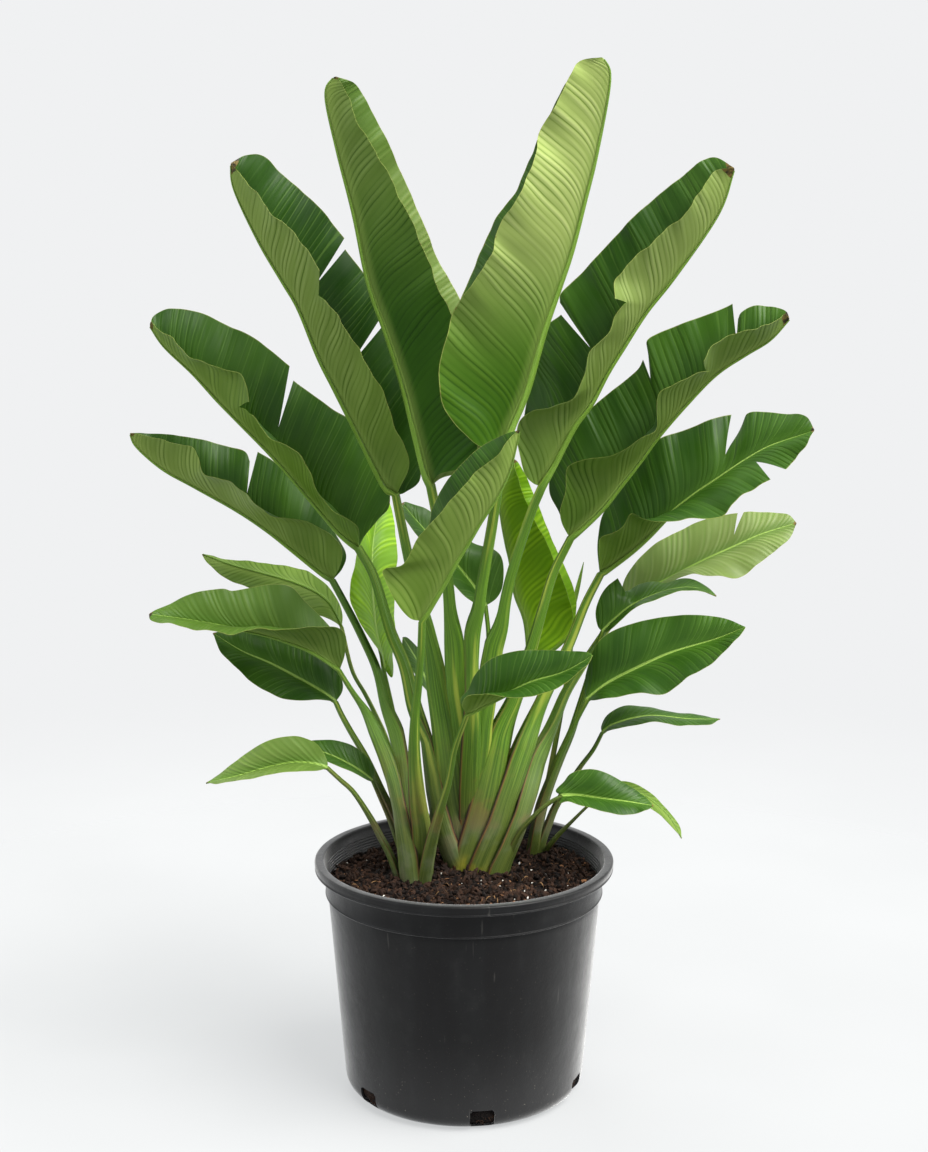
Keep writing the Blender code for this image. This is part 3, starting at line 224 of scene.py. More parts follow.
# Drawing coordinates run right and down in the 928 by 1152 frame. near is the half towards the eye,
# far the other one; each is a list of lobes with a tear between them. A tear is (how far along the
# midrib, how far out from the midrib it starts). depth is the midrib's own at its neck, middle and tip.
LEAVES = {
    "leaf_top_left": {
        "shoot": "main_shoot",
        "root": (0.004, 0.036),
        "stalk": [(470, 800), (466, 724), (462, 686), (454, 638), (450, 590), (445, 550), (437, 510)],
        "neck": (432, 486),
        "rib": [(427, 474), (416, 430), (404, 383), (387, 331), (370, 283), (355, 214), (338, 150),
            (326, 95)],
        "tip": (335, 76),
        "depth": (0.0, 0.005, -0.015),
        "half_width": 0.092,
        "near": [[(440, 474), (460, 468), (478, 448), (474, 400), (465, 352), (453, 317), (427, 260),
            (407, 208), (384, 168), (361, 125), (342, 84)]],
        "far": [[(442, 478), (468, 468), (486, 435), (482, 380), (471, 335), (459, 297), (436, 254),
            (410, 191), (393, 153), (373, 113), (357, 85)]],
        "stalk_width": (0.028, 0.015),
    },
    "leaf_high_left": {
        "shoot": "main_shoot",
        "root": (-0.005, 0.032),
        "stalk": [(459, 810), (452, 772), (444, 724), (437, 670), (430, 630), (418, 590), (409, 553)],
        "neck": (397, 495),
        "rib": [(385, 484), (361, 437), (337, 390), (320, 357), (300, 309), (284, 282), (260, 242),
            (235, 190)],
        "tip": (231, 163),
        "depth": (0.055, 0.06, 0.05),
        "half_width": 0.09,
        "near": [[(401, 486), (409, 470), (408, 457), (397, 435), (389, 409), (377, 376), (355, 346),
            (340, 321), (327, 299)], [(319, 271), (303, 246), (284, 223), (260, 198), (243, 179),
            (234, 166)]],
        "near_tears": [(0.54, 0.6)],
        "far": [[(406, 492), (421, 478), (418, 440), (410, 400), (397, 360), (383, 326)], [(380, 319),
            (377, 300), (370, 281), (354, 260), (346, 249)], [(345, 238), (314, 202), (284, 175),
            (264, 157), (247, 155)]],
        "far_tears": [(0.34, 0.45), (0.57, 0.45)],
        "stalk_width": (0.034, 0.014),
    },
    "leaf_mid_left": {
        "shoot": "main_shoot",
        "root": (-0.014, 0.024),
        "stalk": [(446, 820), (434, 781), (424, 738), (415, 705), (406, 666), (391, 630), (375, 577)],
        "neck": (359, 548),
        "rib": [(341, 533), (320, 509), (291, 475), (270, 452), (245, 427), (219, 401), (194, 374),
            (165, 347)],
        "tip": (150, 326),
        "depth": (0.1, 0.11, 0.1),
        "half_width": 0.088,
        "near": [[(359, 530), (352, 519), (337, 510), (322, 500), (314, 488), (308, 469), (295, 452),
            (278, 439), (266, 431), (251, 416)], [(249, 402), (243, 380), (234, 371), (215, 364),
            (192, 359), (179, 347), (163, 332), (152, 322)]],
        "near_tears": [(0.62, 0.35)],
        "far": [[(365, 536), (379, 519), (390, 504), (386, 470), (370, 443), (352, 421), (331, 408),
            (294, 380)], [(290, 366), (257, 340), (228, 325), (198, 312), (171, 309), (155, 315)]],
        "far_tears": [(0.42, 0.25)],
        "stalk_width": (0.026, 0.013),
    },
    "leaf_spread_left": {
        "shoot": "left_shoot",
        "root": (-0.057, -0.004),
        "stalk": [(408, 820), (399, 777), (389, 725), (379, 674), (362, 635), (345, 602)],
        "neck": (333, 580),
        "rib": [(320, 571), (295, 551), (268, 530), (236, 509), (194, 486), (163, 469), (137, 447)],
        "tip": (130, 433),
        "depth": (0.15, 0.17, 0.16),
        "half_width": 0.078,
        "near": [[(340, 566), (341, 549), (333, 536), (320, 526), (299, 519), (274, 516), (255, 507),
            (245, 494), (232, 481), (215, 477), (203, 471), (198, 458), (190, 448), (169, 441),
            (150, 436)]],
        "far": [[(343, 568), (346, 553), (333, 530), (320, 512), (298, 485), (276, 463), (258, 452)],
            [(250, 462), (245, 452), (228, 446), (205, 440), (173, 435), (145, 433)]],
        "far_tears": [(0.44, 0.2)],
        "stalk_width": (0.018, 0.011),
    },
    "leaf_top_right": {
        "shoot": "main_shoot",
        "root": (0.006, 0.008),
        "stalk": [(469, 800), (469, 740), (470, 690), (473, 645), (479, 595), (485, 560), (491, 525),
            (498, 480)],
        "neck": (505, 442),
        "rib": [(511, 425), (526, 389), (543, 331), (558, 288), (571, 250), (584, 201), (596, 154),
            (610, 80)],
        "tip": (603, 57),
        "depth": (-0.095, -0.1, -0.11),
        "half_width": 0.102,
        "near": [[(497, 446), (480, 446), (466, 435), (452, 420), (441, 400), (439, 369), (447, 337),
            (463, 297), (493, 252), (505, 221), (528, 174), (548, 120), (559, 98), (578, 63)]],
        "far": [[(494, 442), (472, 428), (456, 395), (452, 345), (463, 294), (480, 254), (497, 219),
            (518, 185), (538, 142), (556, 100), (580, 66)]],
        "stalk_width": (0.026, 0.015),
    },
    "leaf_high_right": {
        "shoot": "main_shoot",
        "root": (0.01, 0.02),
        "stalk": [(474, 790), (480, 740), (486, 700), (495, 653), (505, 595), (514, 560), (530, 512)],
        "neck": (541, 486),
        "rib": [(557, 456), (573, 426), (590, 403), (606, 373), (623, 346), (646, 311), (675, 275),
            (718, 214)],
        "tip": (735, 168),
        "depth": (-0.03, -0.03, -0.045),
        "half_width": 0.09,
        "near": [[(533, 483), (524, 472), (519, 446), (520, 423), (532, 412), (549, 409), (569, 402),
            (575, 392), (582, 372), (592, 351), (607, 337), (618, 317), (623, 307)], [(616, 299),
            (615, 277), (632, 260), (664, 234), (695, 199), (716, 172)]],
        "near_tears": [(0.56, 0.5)],
        "far": [[(536, 480), (528, 455), (525, 425), (530, 390), (538, 355), (546, 328), (562, 315)],
            [(561, 303), (563, 292), (586, 268), (618, 234), (650, 202), (687, 173), (712, 157)]],
        "far_tears": [(0.36, 0.35)],
        "stalk_width": (0.03, 0.015),
    },
    "leaf_mid_right": {
        "shoot": "main_shoot",
        "root": (0.013, 0.006),
        "stalk": [(485, 800), (494, 762), (503, 730), (514, 695), (531, 645), (542, 607), (553, 572)],
        "neck": (570, 538),
        "rib": [(600, 510), (621, 484), (640, 460), (657, 437), (686, 404), (716, 374), (745, 355),
            (770, 340)],
        "tip": (790, 319),
        "depth": (0.03, 0.03, 0.01),
        "half_width": 0.088,
        "near": [[(562, 523), (560, 509), (564, 492), (566, 471), (577, 463), (602, 458), (623, 452),
            (644, 435), (655, 425), (657, 404), (665, 391), (686, 380), (709, 370)], [(703, 360),
            (711, 343), (728, 337), (745, 332), (768, 326), (783, 314)]],
        "near_tears": [(0.68, 0.35)],
        "far": [[(559, 512), (549, 489), (556, 455), (572, 430), (589, 410), (619, 385), (638, 370),
            (644, 360)], [(649, 352), (650, 338), (686, 322), (716, 311), (733, 304)], [(739, 320),
            (743, 313), (756, 306), (775, 307), (786, 311)]],
        "far_tears": [(0.46, 0.5), (0.79, 0.4)],
        "stalk_width": (0.032, 0.013),
    },
    "leaf_spread_right": {
        "shoot": "main_shoot",
        "root": (0.018, 0.0),
        "stalk": [(489, 839), (504, 800), (517, 766), (529, 733), (540, 702), (555, 672), (570, 640),
            (585, 603)],
        "neck": (600, 574),
        "rib": [(631, 551), (650, 534), (669, 515), (695, 494), (720, 477), (745, 460), (770, 446),
            (802, 435)],
        "tip": (815, 430),
        "depth": (0.075, 0.08, 0.05),
        "half_width": 0.086,
        "near": [[(600, 550), (603, 537), (619, 527), (631, 514), (644, 519), (661, 522), (684, 521),
            (716, 517), (741, 496), (762, 486), (772, 481)], [(785, 468), (794, 459), (804, 448)]],
        "near_tears": [(0.72, 0.45)],
        "far": [[(598, 552), (599, 535), (602, 517), (610, 500), (621, 486), (634, 467), (657, 441),
            (686, 429), (716, 418), (732, 415)], [(742, 431), (745, 421), (751, 414), (772, 412),
            (804, 415)]],
        "far_tears": [(0.6, 0.3)],
        "stalk_width": (0.03, 0.013),
    },
    "leaf_low_right": {
        "shoot": "main_shoot",
        "root": (0.044, 0.014),
        "stalk": [(515, 829), (529, 793), (537, 762), (548, 735), (557, 713), (566, 692), (579, 671),
            (596, 645), (612, 622)],
        "neck": (630, 602),
        "rib": [(648, 590), (665, 581), (682, 572), (707, 559), (733, 547), (762, 534)],
        "tip": (797, 523),
        "depth": (0.15, 0.16, 0.17),
        "half_width": 0.06,
        "near": [[(645, 599), (660, 590), (678, 579), (692, 574), (706, 577), (722, 577), (741, 576),
            (762, 561), (787, 542)]],
        "far": [[(622, 596), (629, 573), (650, 548), (680, 530), (716, 517), (738, 513)], [(744, 512),
            (754, 511), (770, 512), (789, 516)]],
        "far_tears": [(0.62, 0.25)],
        "stalk_width": (0.022, 0.009),
    },
    "leaf_under_right": {
        "shoot": "right_shoot",
        "root": (0.084, 0.076),
        "stalk": [(536, 835), (543, 806), (551, 782), (561, 757), (571, 734), (580, 706), (588, 680),
            (596, 652)],
        "neck": (603, 632),
        "rib": [(616, 619), (632, 606), (652, 596), (674, 589), (696, 588)],
        "tip": (717, 596),
        "depth": (0.065, 0.072, 0.085),
        "half_width": 0.034,
        "near": [[(609, 631), (622, 620), (634, 609), (652, 600), (674, 593), (698, 591)]],
        "far": [[(598, 626), (596, 612), (600, 598), (607, 587), (618, 578)], [(627, 592), (640, 584),
            (655, 581), (668, 582), (682, 579), (698, 582), (710, 589)]],
        "far_tears": [(0.3, 0.5)],
        "stalk_width": (0.013, 0.007),
    },
    "leaf_oval_right": {
        "shoot": "right_shoot",
        "root": (0.083, 0.064),
        "stalk": [(534, 836), (540, 808), (548, 785), (557, 762), (567, 740), (577, 718)],
        "neck": (587, 700),
        "rib": [(606, 685), (631, 671), (670, 653), (716, 639)],
        "tip": (746, 627),
        "depth": (0.03, 0.02, 0.0),
        "half_width": 0.056,
        "near": [[(596, 700), (613, 696), (639, 693), (664, 695), (690, 676), (721, 656), (741, 635)]],
        "far": [[(585, 688), (588, 669), (598, 643), (619, 628), (657, 618), (695, 615), (724, 618)]],
        "stalk_width": (0.016, 0.008),
    },
    "leaf_narrow_right": {
        "shoot": "right_shoot",
        "root": (0.093, 0.068),
        "stalk": [(541, 843), (548, 824), (556, 805), (578, 770), (593, 750)],
        "neck": (602, 733),
        "rib": [(616, 724), (650, 716), (690, 719)],
        "tip": (721, 719),
        "depth": (0.06, 0.07, 0.08),
        "half_width": 0.032,
        "near": [[(614, 729), (630, 725), (655, 722), (680, 726), (708, 724)]],
        "far": [[(602, 726), (609, 715), (624, 706), (644, 706), (670, 711), (700, 716)]],
        "stalk_width": (0.012, 0.006),
    },
    "leaf_drooping_right": {
        "shoot": "main_shoot",
        "root": (0.049, 0.006),
        "stalk": [(510, 852), (520, 831), (538, 812), (552, 801)],
        "neck": (563, 796),
        "rib": [(580, 796), (606, 799), (630, 802)],
        "tip": (654, 806),
        "depth": (-0.03, -0.035, -0.04),
        "half_width": 0.036,
        "near": [[(560, 803), (569, 801), (583, 806), (606, 813), (631, 814), (646, 810)]],
        "far": [[(556, 791), (564, 782), (572, 773), (590, 769), (607, 773), (627, 784), (645, 797)]],
        "stalk_width": (0.01, 0.006),
    },
    "leaf_right_small": {
        "shoot": "right_shoot",
        "root": (0.101, 0.07),
        "stalk": [(550, 846), (560, 834), (571, 823), (584, 810)],
        "neck": (594, 801),
        "rib": [(608, 793), (625, 790), (642, 795), (656, 804), (670, 818)],
        "tip": (682, 839),
        "depth": (0.03, 0.02, 0.01),
        "half_width": 0.024,
        "near": [[(604, 803), (620, 801), (636, 802), (650, 807), (661, 815), (671, 826), (678, 833)]],
        "far": [[(599, 793), (610, 784), (625, 781), (641, 786), (657, 798), (672, 815), (680, 829)]],
        "stalk_width": (0.008, 0.004),
    },
    "leaf_front": {
        "foot_swell": 0.45,
        "shoot": "left_shoot",
        "root": (-0.051, -0.01),
        "stalk": [(421, 830), (417, 800), (414, 757), (415, 715), (418, 685), (421, 650)],
        "neck": (422, 621),
        "rib": [(432, 604), (444, 584), (456, 562), (469, 541), (481, 521), (498, 495), (510, 469)],
        "tip": (520, 430),
        "depth": (-0.12, -0.145, -0.16),
        "half_width": 0.062,
        "near": [[(410, 618), (397, 603), (386, 581), (384, 570), (404, 564), (417, 542), (429, 524),
            (453, 498), (473, 477), (493, 458), (509, 439)]],
        "far": [[(418, 600), (414, 575), (420, 550), (430, 521), (432, 507), (444, 486), (462, 464),
            (482, 446), (506, 434)]],
        "stalk_width": (0.017, 0.01),
    },
    "leaf_front_small": {
        "foot_swell": 0.30,
        "shoot": "left_shoot",
        "root": (-0.048, -0.029),
        "stalk": [(431, 844), (440, 810), (449, 780), (455, 748)],
        "neck": (467, 715),
        "rib": [(486, 705), (504, 696), (532, 682), (562, 673), (583, 662)],
        "tip": (593, 655),
        "depth": (-0.11, -0.125, -0.14),
        "half_width": 0.044,
        "near": [[(462, 704), (467, 695), (485, 694), (501, 697), (522, 698), (547, 693), (573, 676),
            (588, 665)]],
        "far": [[(461, 700), (469, 689), (476, 674), (491, 659), (516, 651), (542, 650), (568, 651),
            (586, 652)]],
        "stalk_width": (0.012, 0.007),
    },
    "leaf_back_left": {
        "shoot": "left_shoot",
        "root": (-0.052, 0.01),
        "stalk": [(414, 800), (406, 753), (396, 720), (390, 694)],
        "neck": (384, 668),
        "rib": [(382, 655), (377, 635), (374, 610), (372, 575), (374, 535)],
        "tip": (384, 492),
        "depth": (0.115, 0.15, 0.235),
        "half_width": 0.048,
        "near": [[(381, 655), (374, 643), (366, 630), (357, 615), (351, 599), (352, 577), (357, 550),
            (365, 520)]],
        "far": [[(393, 677), (394, 650), (394, 620), (396, 590), (397, 562), (395, 525), (390, 500)]],
        "stalk_width": (0.01, 0.007),
    },
    "leaf_back_right": {
        "shoot": "main_shoot",
        "root": (0.03, 0.04),
        "stalk": [(500, 800), (512, 730), (524, 690)],
        "neck": (530, 662),
        "rib": [(526, 622), (516, 594), (511, 562), (507, 545), (502, 518), (500, 493)],
        "tip": (515, 459),
        "depth": (0.11, 0.125, 0.14),
        "half_width": 0.064,
        "near": [[(547, 652), (566, 635), (573, 617), (567, 591), (556, 563), (537, 524), (528, 504),
            (516, 474)]],
        "far": [[(550, 655), (570, 636), (576, 610), (574, 589), (560, 555), (550, 535), (534, 493),
            (520, 465)]],
        "stalk_width": (0.012, 0.008),
    },
    "leaf_back_middle": {
        "shoot": "main_shoot",
        "root": (0.014, 0.044),
        "stalk": [(484, 790), (487, 700), (489, 640)],
        "neck": (486, 606),
        "rib": [(472, 584), (450, 557), (424, 529)],
        "tip": (402, 503),
        "depth": (0.1, 0.115, 0.13),
        "half_width": 0.044,
        "near": [[(474, 603), (458, 587), (440, 565), (420, 541), (406, 516)]],
        "far": [[(497, 598), (503, 585), (503, 562), (495, 550), (471, 541), (446, 522), (424, 508),
            (408, 502)]],
        "stalk_width": (0.009, 0.006),
    },
    "leaf_back_small": {
        "shoot": "main_shoot",
        "root": (-0.012, 0.044),
        "stalk": [(440, 800), (436, 740)],
        "neck": (429, 693),
        "rib": [(424, 675), (414, 655)],
        "tip": (403, 637),
        "depth": (0.105, 0.11, 0.115),
        "half_width": 0.018,
        "near": [[(420, 682), (410, 663), (403, 648)]],
        "far": [[(431, 680), (427, 662), (418, 648), (408, 638)]],
        "stalk_width": (0.007, 0.004),
    },
    "leaf_side_left_back": {
        "shoot": "left_shoot",
        "root": (-0.066, 0.006),
        "stalk": [(402, 800), (388, 745), (375, 714), (365, 694), (352, 670)],
        "neck": (342, 628),
        "rib": [(327, 601), (300, 585), (260, 573), (228, 564)],
        "tip": (202, 554),
        "depth": (0.2, 0.215, 0.22),
        "half_width": 0.042,
        "near": [[(334, 622), (310, 612), (280, 600), (248, 588), (222, 575), (207, 562)]],
        "far": [[(342, 612), (331, 591), (313, 573), (300, 568), (270, 564), (240, 561), (216, 556)]],
        "stalk_width": (0.009, 0.006),
    },
    "leaf_side_left": {
        "shoot": "left_shoot",
        "root": (-0.061, -0.004),
        "stalk": [(406, 839), (399, 797), (389, 758), (370, 718), (359, 700), (348, 683)],
        "neck": (340, 670),
        "rib": [(328, 661), (305, 648), (270, 636), (233, 628), (190, 620)],
        "tip": (149, 614),
        "depth": (0.05, 0.06, 0.05),
        "half_width": 0.06,
        "near": [[(345, 655), (346, 636), (337, 627), (320, 626), (292, 628), (261, 630), (233, 634),
            (213, 630), (180, 627), (153, 621)]],
        "far": [[(341, 645), (326, 623), (305, 601), (292, 587), (274, 584), (253, 587), (233, 591),
            (222, 589), (194, 593), (164, 606)]],
        "stalk_width": (0.016, 0.009),
    },
    "leaf_side_left_under": {
        "shoot": "left_shoot",
        "root": (-0.066, -0.002),
        "stalk": [(403, 842), (394, 818), (381, 790), (366, 757), (352, 733), (342, 715)],
        "neck": (336, 702),
        "rib": [(322, 692), (300, 679), (270, 663), (242, 651)],
        "tip": (213, 633),
        "depth": (0.1, 0.12, 0.13),
        "half_width": 0.046,
        "near": [[(328, 701), (305, 700), (281, 697), (257, 686), (238, 670), (221, 650)]],
        "far": [[(343, 690), (341, 677), (325, 657), (300, 643), (265, 634), (232, 630)]],
        "stalk_width": (0.014, 0.007),
    },
    "leaf_bottom_left": {
        "shoot": "left_shoot",
        "root": (-0.079, -0.011),
        "stalk": [(391, 855), (382, 838), (370, 816), (354, 792), (341, 780)],
        "neck": (328, 768),
        "rib": [(312, 764), (292, 763), (266, 768), (238, 776)],
        "tip": (206, 783),
        "depth": (-0.02, -0.03, -0.03),
        "half_width": 0.034,
        "near": [[(318, 770), (300, 770), (275, 774), (240, 781)]],
        "far": [[(327, 760), (318, 745), (305, 738), (292, 736), (270, 740), (248, 752), (226, 770)]],
        "stalk_width": (0.01, 0.006),
    },
    "leaf_bottom_left_back": {
        "shoot": "left_shoot",
        "root": (-0.07, -0.008),
        "stalk": [(401, 850), (390, 820), (380, 797)],
        "neck": (373, 781),
        "rib": [(355, 768), (335, 757), (316, 750)],
        "tip": (299, 745),
        "depth": (0.03, 0.04, 0.05),
        "half_width": 0.026,
        "near": [[(366, 780), (348, 770), (329, 762), (311, 753)]],
        "far": [[(375, 769), (368, 757), (357, 748), (346, 743), (331, 740), (312, 741)]],
        "stalk_width": (0.008, 0.005),
    },
}

# The rolled young leaf behind the right clump
SPEAR = {
    "shoot": "right_shoot",
    "root": (0.09, 0.074),
    "stalk": [(545, 800), (560, 720), (570, 660), (573, 620)],
    "neck": (574, 605),
    "rib": [(578, 580)],
    "tip": (584, 562),
    "depth": (0.19, 0.2, 0.2),
    "stalk_width": (0.008, 0.005),
}


def seen(point, depth):
    """The place at this depth (its y) on the sight line through a drawing point."""
    across = (point[0] - EYE_CENTRE[0]) / EYE_FOCAL
    up = (EYE_CENTRE[1] - point[1]) / EYE_FOCAL
    line = FORWARD + UPWARD * up + np.array((across, 0.0, 0.0))
    return EYE + line * (depth - EYE[1]) / line[1]


def shown(point):
    """The drawing point where a place shows."""
    away = np.asarray(point) - EYE
    ahead = np.dot(away, FORWARD)
    return EYE_CENTRE[0] + EYE_FOCAL * away[0] / ahead, EYE_CENTRE[1] - EYE_FOCAL * np.dot(away, UPWARD) / ahead


def unit(vector):
    return vector / max(np.linalg.norm(vector), 1e-9)


def smooth(value, low, high):
    """0 below low, 1 above high, an even ramp between."""
    share = np.clip((value - low) / (high - low), 0.0, 1.0)
    return share * share * (3 - 2 * share)


class Curve:
    """A smooth curve through points, read by its share of length."""

    def __init__(self, points, steps=8):
        points = np.asarray(points, float)
        ends = [2 * points[0] - points[1], *points, 2 * points[-1] - points[-2]]
        found = []
        for before, start, stop, after in zip(ends, ends[1:], ends[2:], ends[3:]):
            for u in np.arange(steps) / steps:
                bend = 2 * before - 5 * start + 4 * stop - after
                twist = 3 * (start - stop) + after - before
                found.append(start + 0.5 * u * (stop - before + u * (bend + u * twist)))
        self.points = np.array([*found, points[-1]])
        runs = np.linalg.norm(np.diff(self.points, axis=0), axis=1)
        self.lengths = np.concatenate(([0.0], np.cumsum(runs)))

    def at(self, share):
        place = share * self.lengths[-1]
        return np.array([np.interp(place, self.lengths, axis) for axis in self.points.T])

    def direction(self, share, reach=0.02):
        return unit(self.at(min(share + reach, 1.0)) - self.at(max(share - reach, 0.0)))


def bend(depth, share):
    """A parabola through the depths at the neck, the middle and the tip."""
    neck, middle, tip = depth
    return neck + share * (4 * middle - 3 * neck - tip) + share**2 * (2 * neck - 4 * middle + 2 * tip)


def outline_share(share):
    """The blade's half width along the midrib, as a share of its greatest: round foot, pointed tip."""
    return math.sin(math.pi * share**0.8) ** 0.75


def tears_of(leaf):
    return leaf.get("near_tears", []) + leaf.get("far_tears", [])


def stations(tears, rows):
    """The shares of the midrib where rows of veins start, with one at every tear."""
    shares = list(np.linspace(0.0, 1.0, rows + 1))
    for along, _ in tears:
        nearest = min(range(1, rows), key=lambda i: abs(shares[i] - along))
        shares[nearest] = along
    return sorted(shares)


def edges_of(leaf, side):
    """The lobes' margins as curves, and the shares of the midrib where each starts and stops."""
    lobes = leaf[side]
    cuts = [0.0, *(along for along, _ in leaf.get(side + "_tears", [])), 1.0]
    curves = []
    for number, lobe in enumerate(lobes):
        start = [leaf["neck"]] if number == 0 else []
        stop = [leaf["tip"]] if number == len(lobes) - 1 else []
        curves.append(Curve([*start, *lobe, *stop]))
    return list(zip(curves, cuts, cuts[1:]))


def turns_of(leaf, side):
    """How far a half's margin stands nearer to the eye or further than the midrib, along the midrib."""
    towards = -1.0 if side == "near" else 1.0
    rib = Curve([leaf["neck"], *leaf["rib"], leaf["tip"]])
    found = []
    for edge, start, stop in edges_of(leaf, side):
        for share in stations(tears_of(leaf), SOLID_ROWS)[1:-1]:
            if not start - 1e-6 <= share <= stop + 1e-6:
                continue
            own = bend(leaf["depth"], share)
            margin = edge.at((share - start) / (stop - start))
            shown = np.linalg.norm(seen(margin, own) - seen(rib.at(share), own))
            true = max(leaf["half_width"] * outline_share(share), shown * 1.02)
            found.append((share, towards * math.sqrt(max(true**2 - shown**2, (MIN_TURN * true) ** 2))))
    shares, turns = np.array(found).T
    for _ in range(2):
        padded = np.concatenate((turns[:1], turns, turns[-1:]))
        turns = (padded[:-2] + 2 * padded[1:-1] + padded[2:]) / 4
    return np.array([0.0, *shares, 1.0]), np.array([0.0, *turns, 0.0])


def half_rows(leaf, side, shares):
    """One blade half as rows, each the midrib's point and the margin's: a row at a tear comes twice."""
    rib = Curve([leaf["neck"], *leaf["rib"], leaf["tip"]])
    towards = -1.0 if side == "near" else 1.0
    known, turns = turns_of(leaf, side)
    places = sorted(set(known))
    means = [turns[known == place].mean() for place in places]
    line = Curve(np.column_stack((places, means)), 12).points
    rows = []
    tears = leaf.get(side + "_tears", [])
    for lobe, (edge, start, stop) in enumerate(edges_of(leaf, side)):
        for number, share in enumerate(shares):
            if not start - 1e-6 <= share <= stop + 1e-6:
                continue
            own = bend(leaf["depth"], share)
            turn = np.interp(share, line[:, 0], line[:, 1])
            turn += towards * FOLD_GAP * min(share / 0.02, (1 - share) / 0.004, 1.0)
            margin = edge.at(np.clip((share - start) / (stop - start), 0, 1))
            rows.append({
                "number": number,
                "share": share,
                "lobe": lobe,
                "rib": seen(rib.at(share), own),
                "edge": seen(margin, own + turn),
            })
    for first, second in zip(rows, rows[1:]):
        if first["number"] == second["number"]:
            middle = (first["edge"] + second["edge"]) / 2
            inward = max(1, round(tears[first["lobe"]][1] * SOLID_COLUMNS)) / SOLID_COLUMNS
            for row in (first, second):
                row["kept"] = inward
                row["pull"] = middle - row["edge"]
    return rows


def ripple(leaf, place, out, share, seed, swells):
    """How far the blade waves off its plane: even waves that grow to the margin, and listed swells."""
    draw = np.random.default_rng(seed)
    phases = draw.uniform(0, math.tau, 3)
    wave = leaf.get("wave", 1.0) * leaf["half_width"] / 0.09
    waves = 0.0
    for phase, (length, height) in zip(phases, BLADE_WAVES):
        waves = waves + height * np.sin(math.tau * place / length + phase)
    calm = smooth(share, 0.0, 0.12) * (1 - smooth(share, 0.93, 1.0))
    raised = wave * calm * out**1.6 * waves
    for start, height, reach in swells:
        raised = raised + height * smooth(out, 0.12, 0.95) * np.exp(-(((place - start * leaf["length"]) / reach) ** 2))
    return raised


def stalk_curve(leaf):
    """The stalk's line from the soil to the neck; its depth runs evenly from the root's to the neck's."""
    root_x, root_y = leaf["root"]
    rise = SOIL_LINE - leaf["neck"][1]
    points = [np.array((root_x, root_y, SOIL_TOP - SHOOT_DEPTH / 2)), np.array((root_x, root_y, SOIL_TOP))]
    for place in [*leaf["stalk"], leaf["neck"]]:
        share = (SOIL_LINE - place[1]) / rise
        points.append(seen(place, root_y + (leaf["depth"][0] - root_y) * share))
    return Curve(points)


class Build:
    """Collects the points, faces and surface facts of one piece."""

    def __init__(self):
        self.points = []
        self.faces = []
        self.slots = []
        self.place = []
        self.look = []
        self.tint = []

    def point(self, where, place, look, tint=(0.0, 0.0, 0.0)):
        self.points.append(where)
        self.place.append(place)
        self.look.append(look)
        self.tint.append(tint)
        return len(self.points) - 1

    def face(self, slot, *corners):
        kept = [c for i, c in enumerate(corners) if c != corners[i - 1]]
        if len(set(kept)) > 2:
            self.faces.append(kept)
            self.slots.append(slot)

    def finish(self, name, materials):
        data = bpy.data.meshes.new(name)
        data.from_pydata([tuple(p) for p in self.points], [], self.faces)
        for finish in materials:
            data.materials.append(finish)
        data.polygons.foreach_set("material_index", self.slots)
        for fact, values in (("place", self.place), ("look", self.look), ("tint", self.tint)):
            made = data.attributes.new(fact, "FLOAT_VECTOR", "POINT")
            made.data.foreach_set("vector", np.array(values, np.float32).ravel())
        mesh = bmesh.new()
        mesh.from_mesh(data)
        bmesh.ops.recalc_face_normals(mesh, faces=mesh.faces)
        mesh.to_mesh(data)
        mesh.free()
        made = bpy.data.objects.new(name, data)
        bpy.context.scene.collection.objects.link(made)
        data.shade_smooth()
        data.set_sharp_from_angle(angle=math.radians(50))
        return made


def tint_at(tint, share):
    """A skin's tint at this share of the midrib: how young (with a painted glow of light through the leaf), how pale
    (whitish bloom and painted light) and how deep its green is (painted shade).
    """
    foot, tip, *reach = tint
    change = smooth(share, *(reach or (0.08, 0.60)))
    return tuple(a + (b - a) * change for a, b in zip(foot, tip))


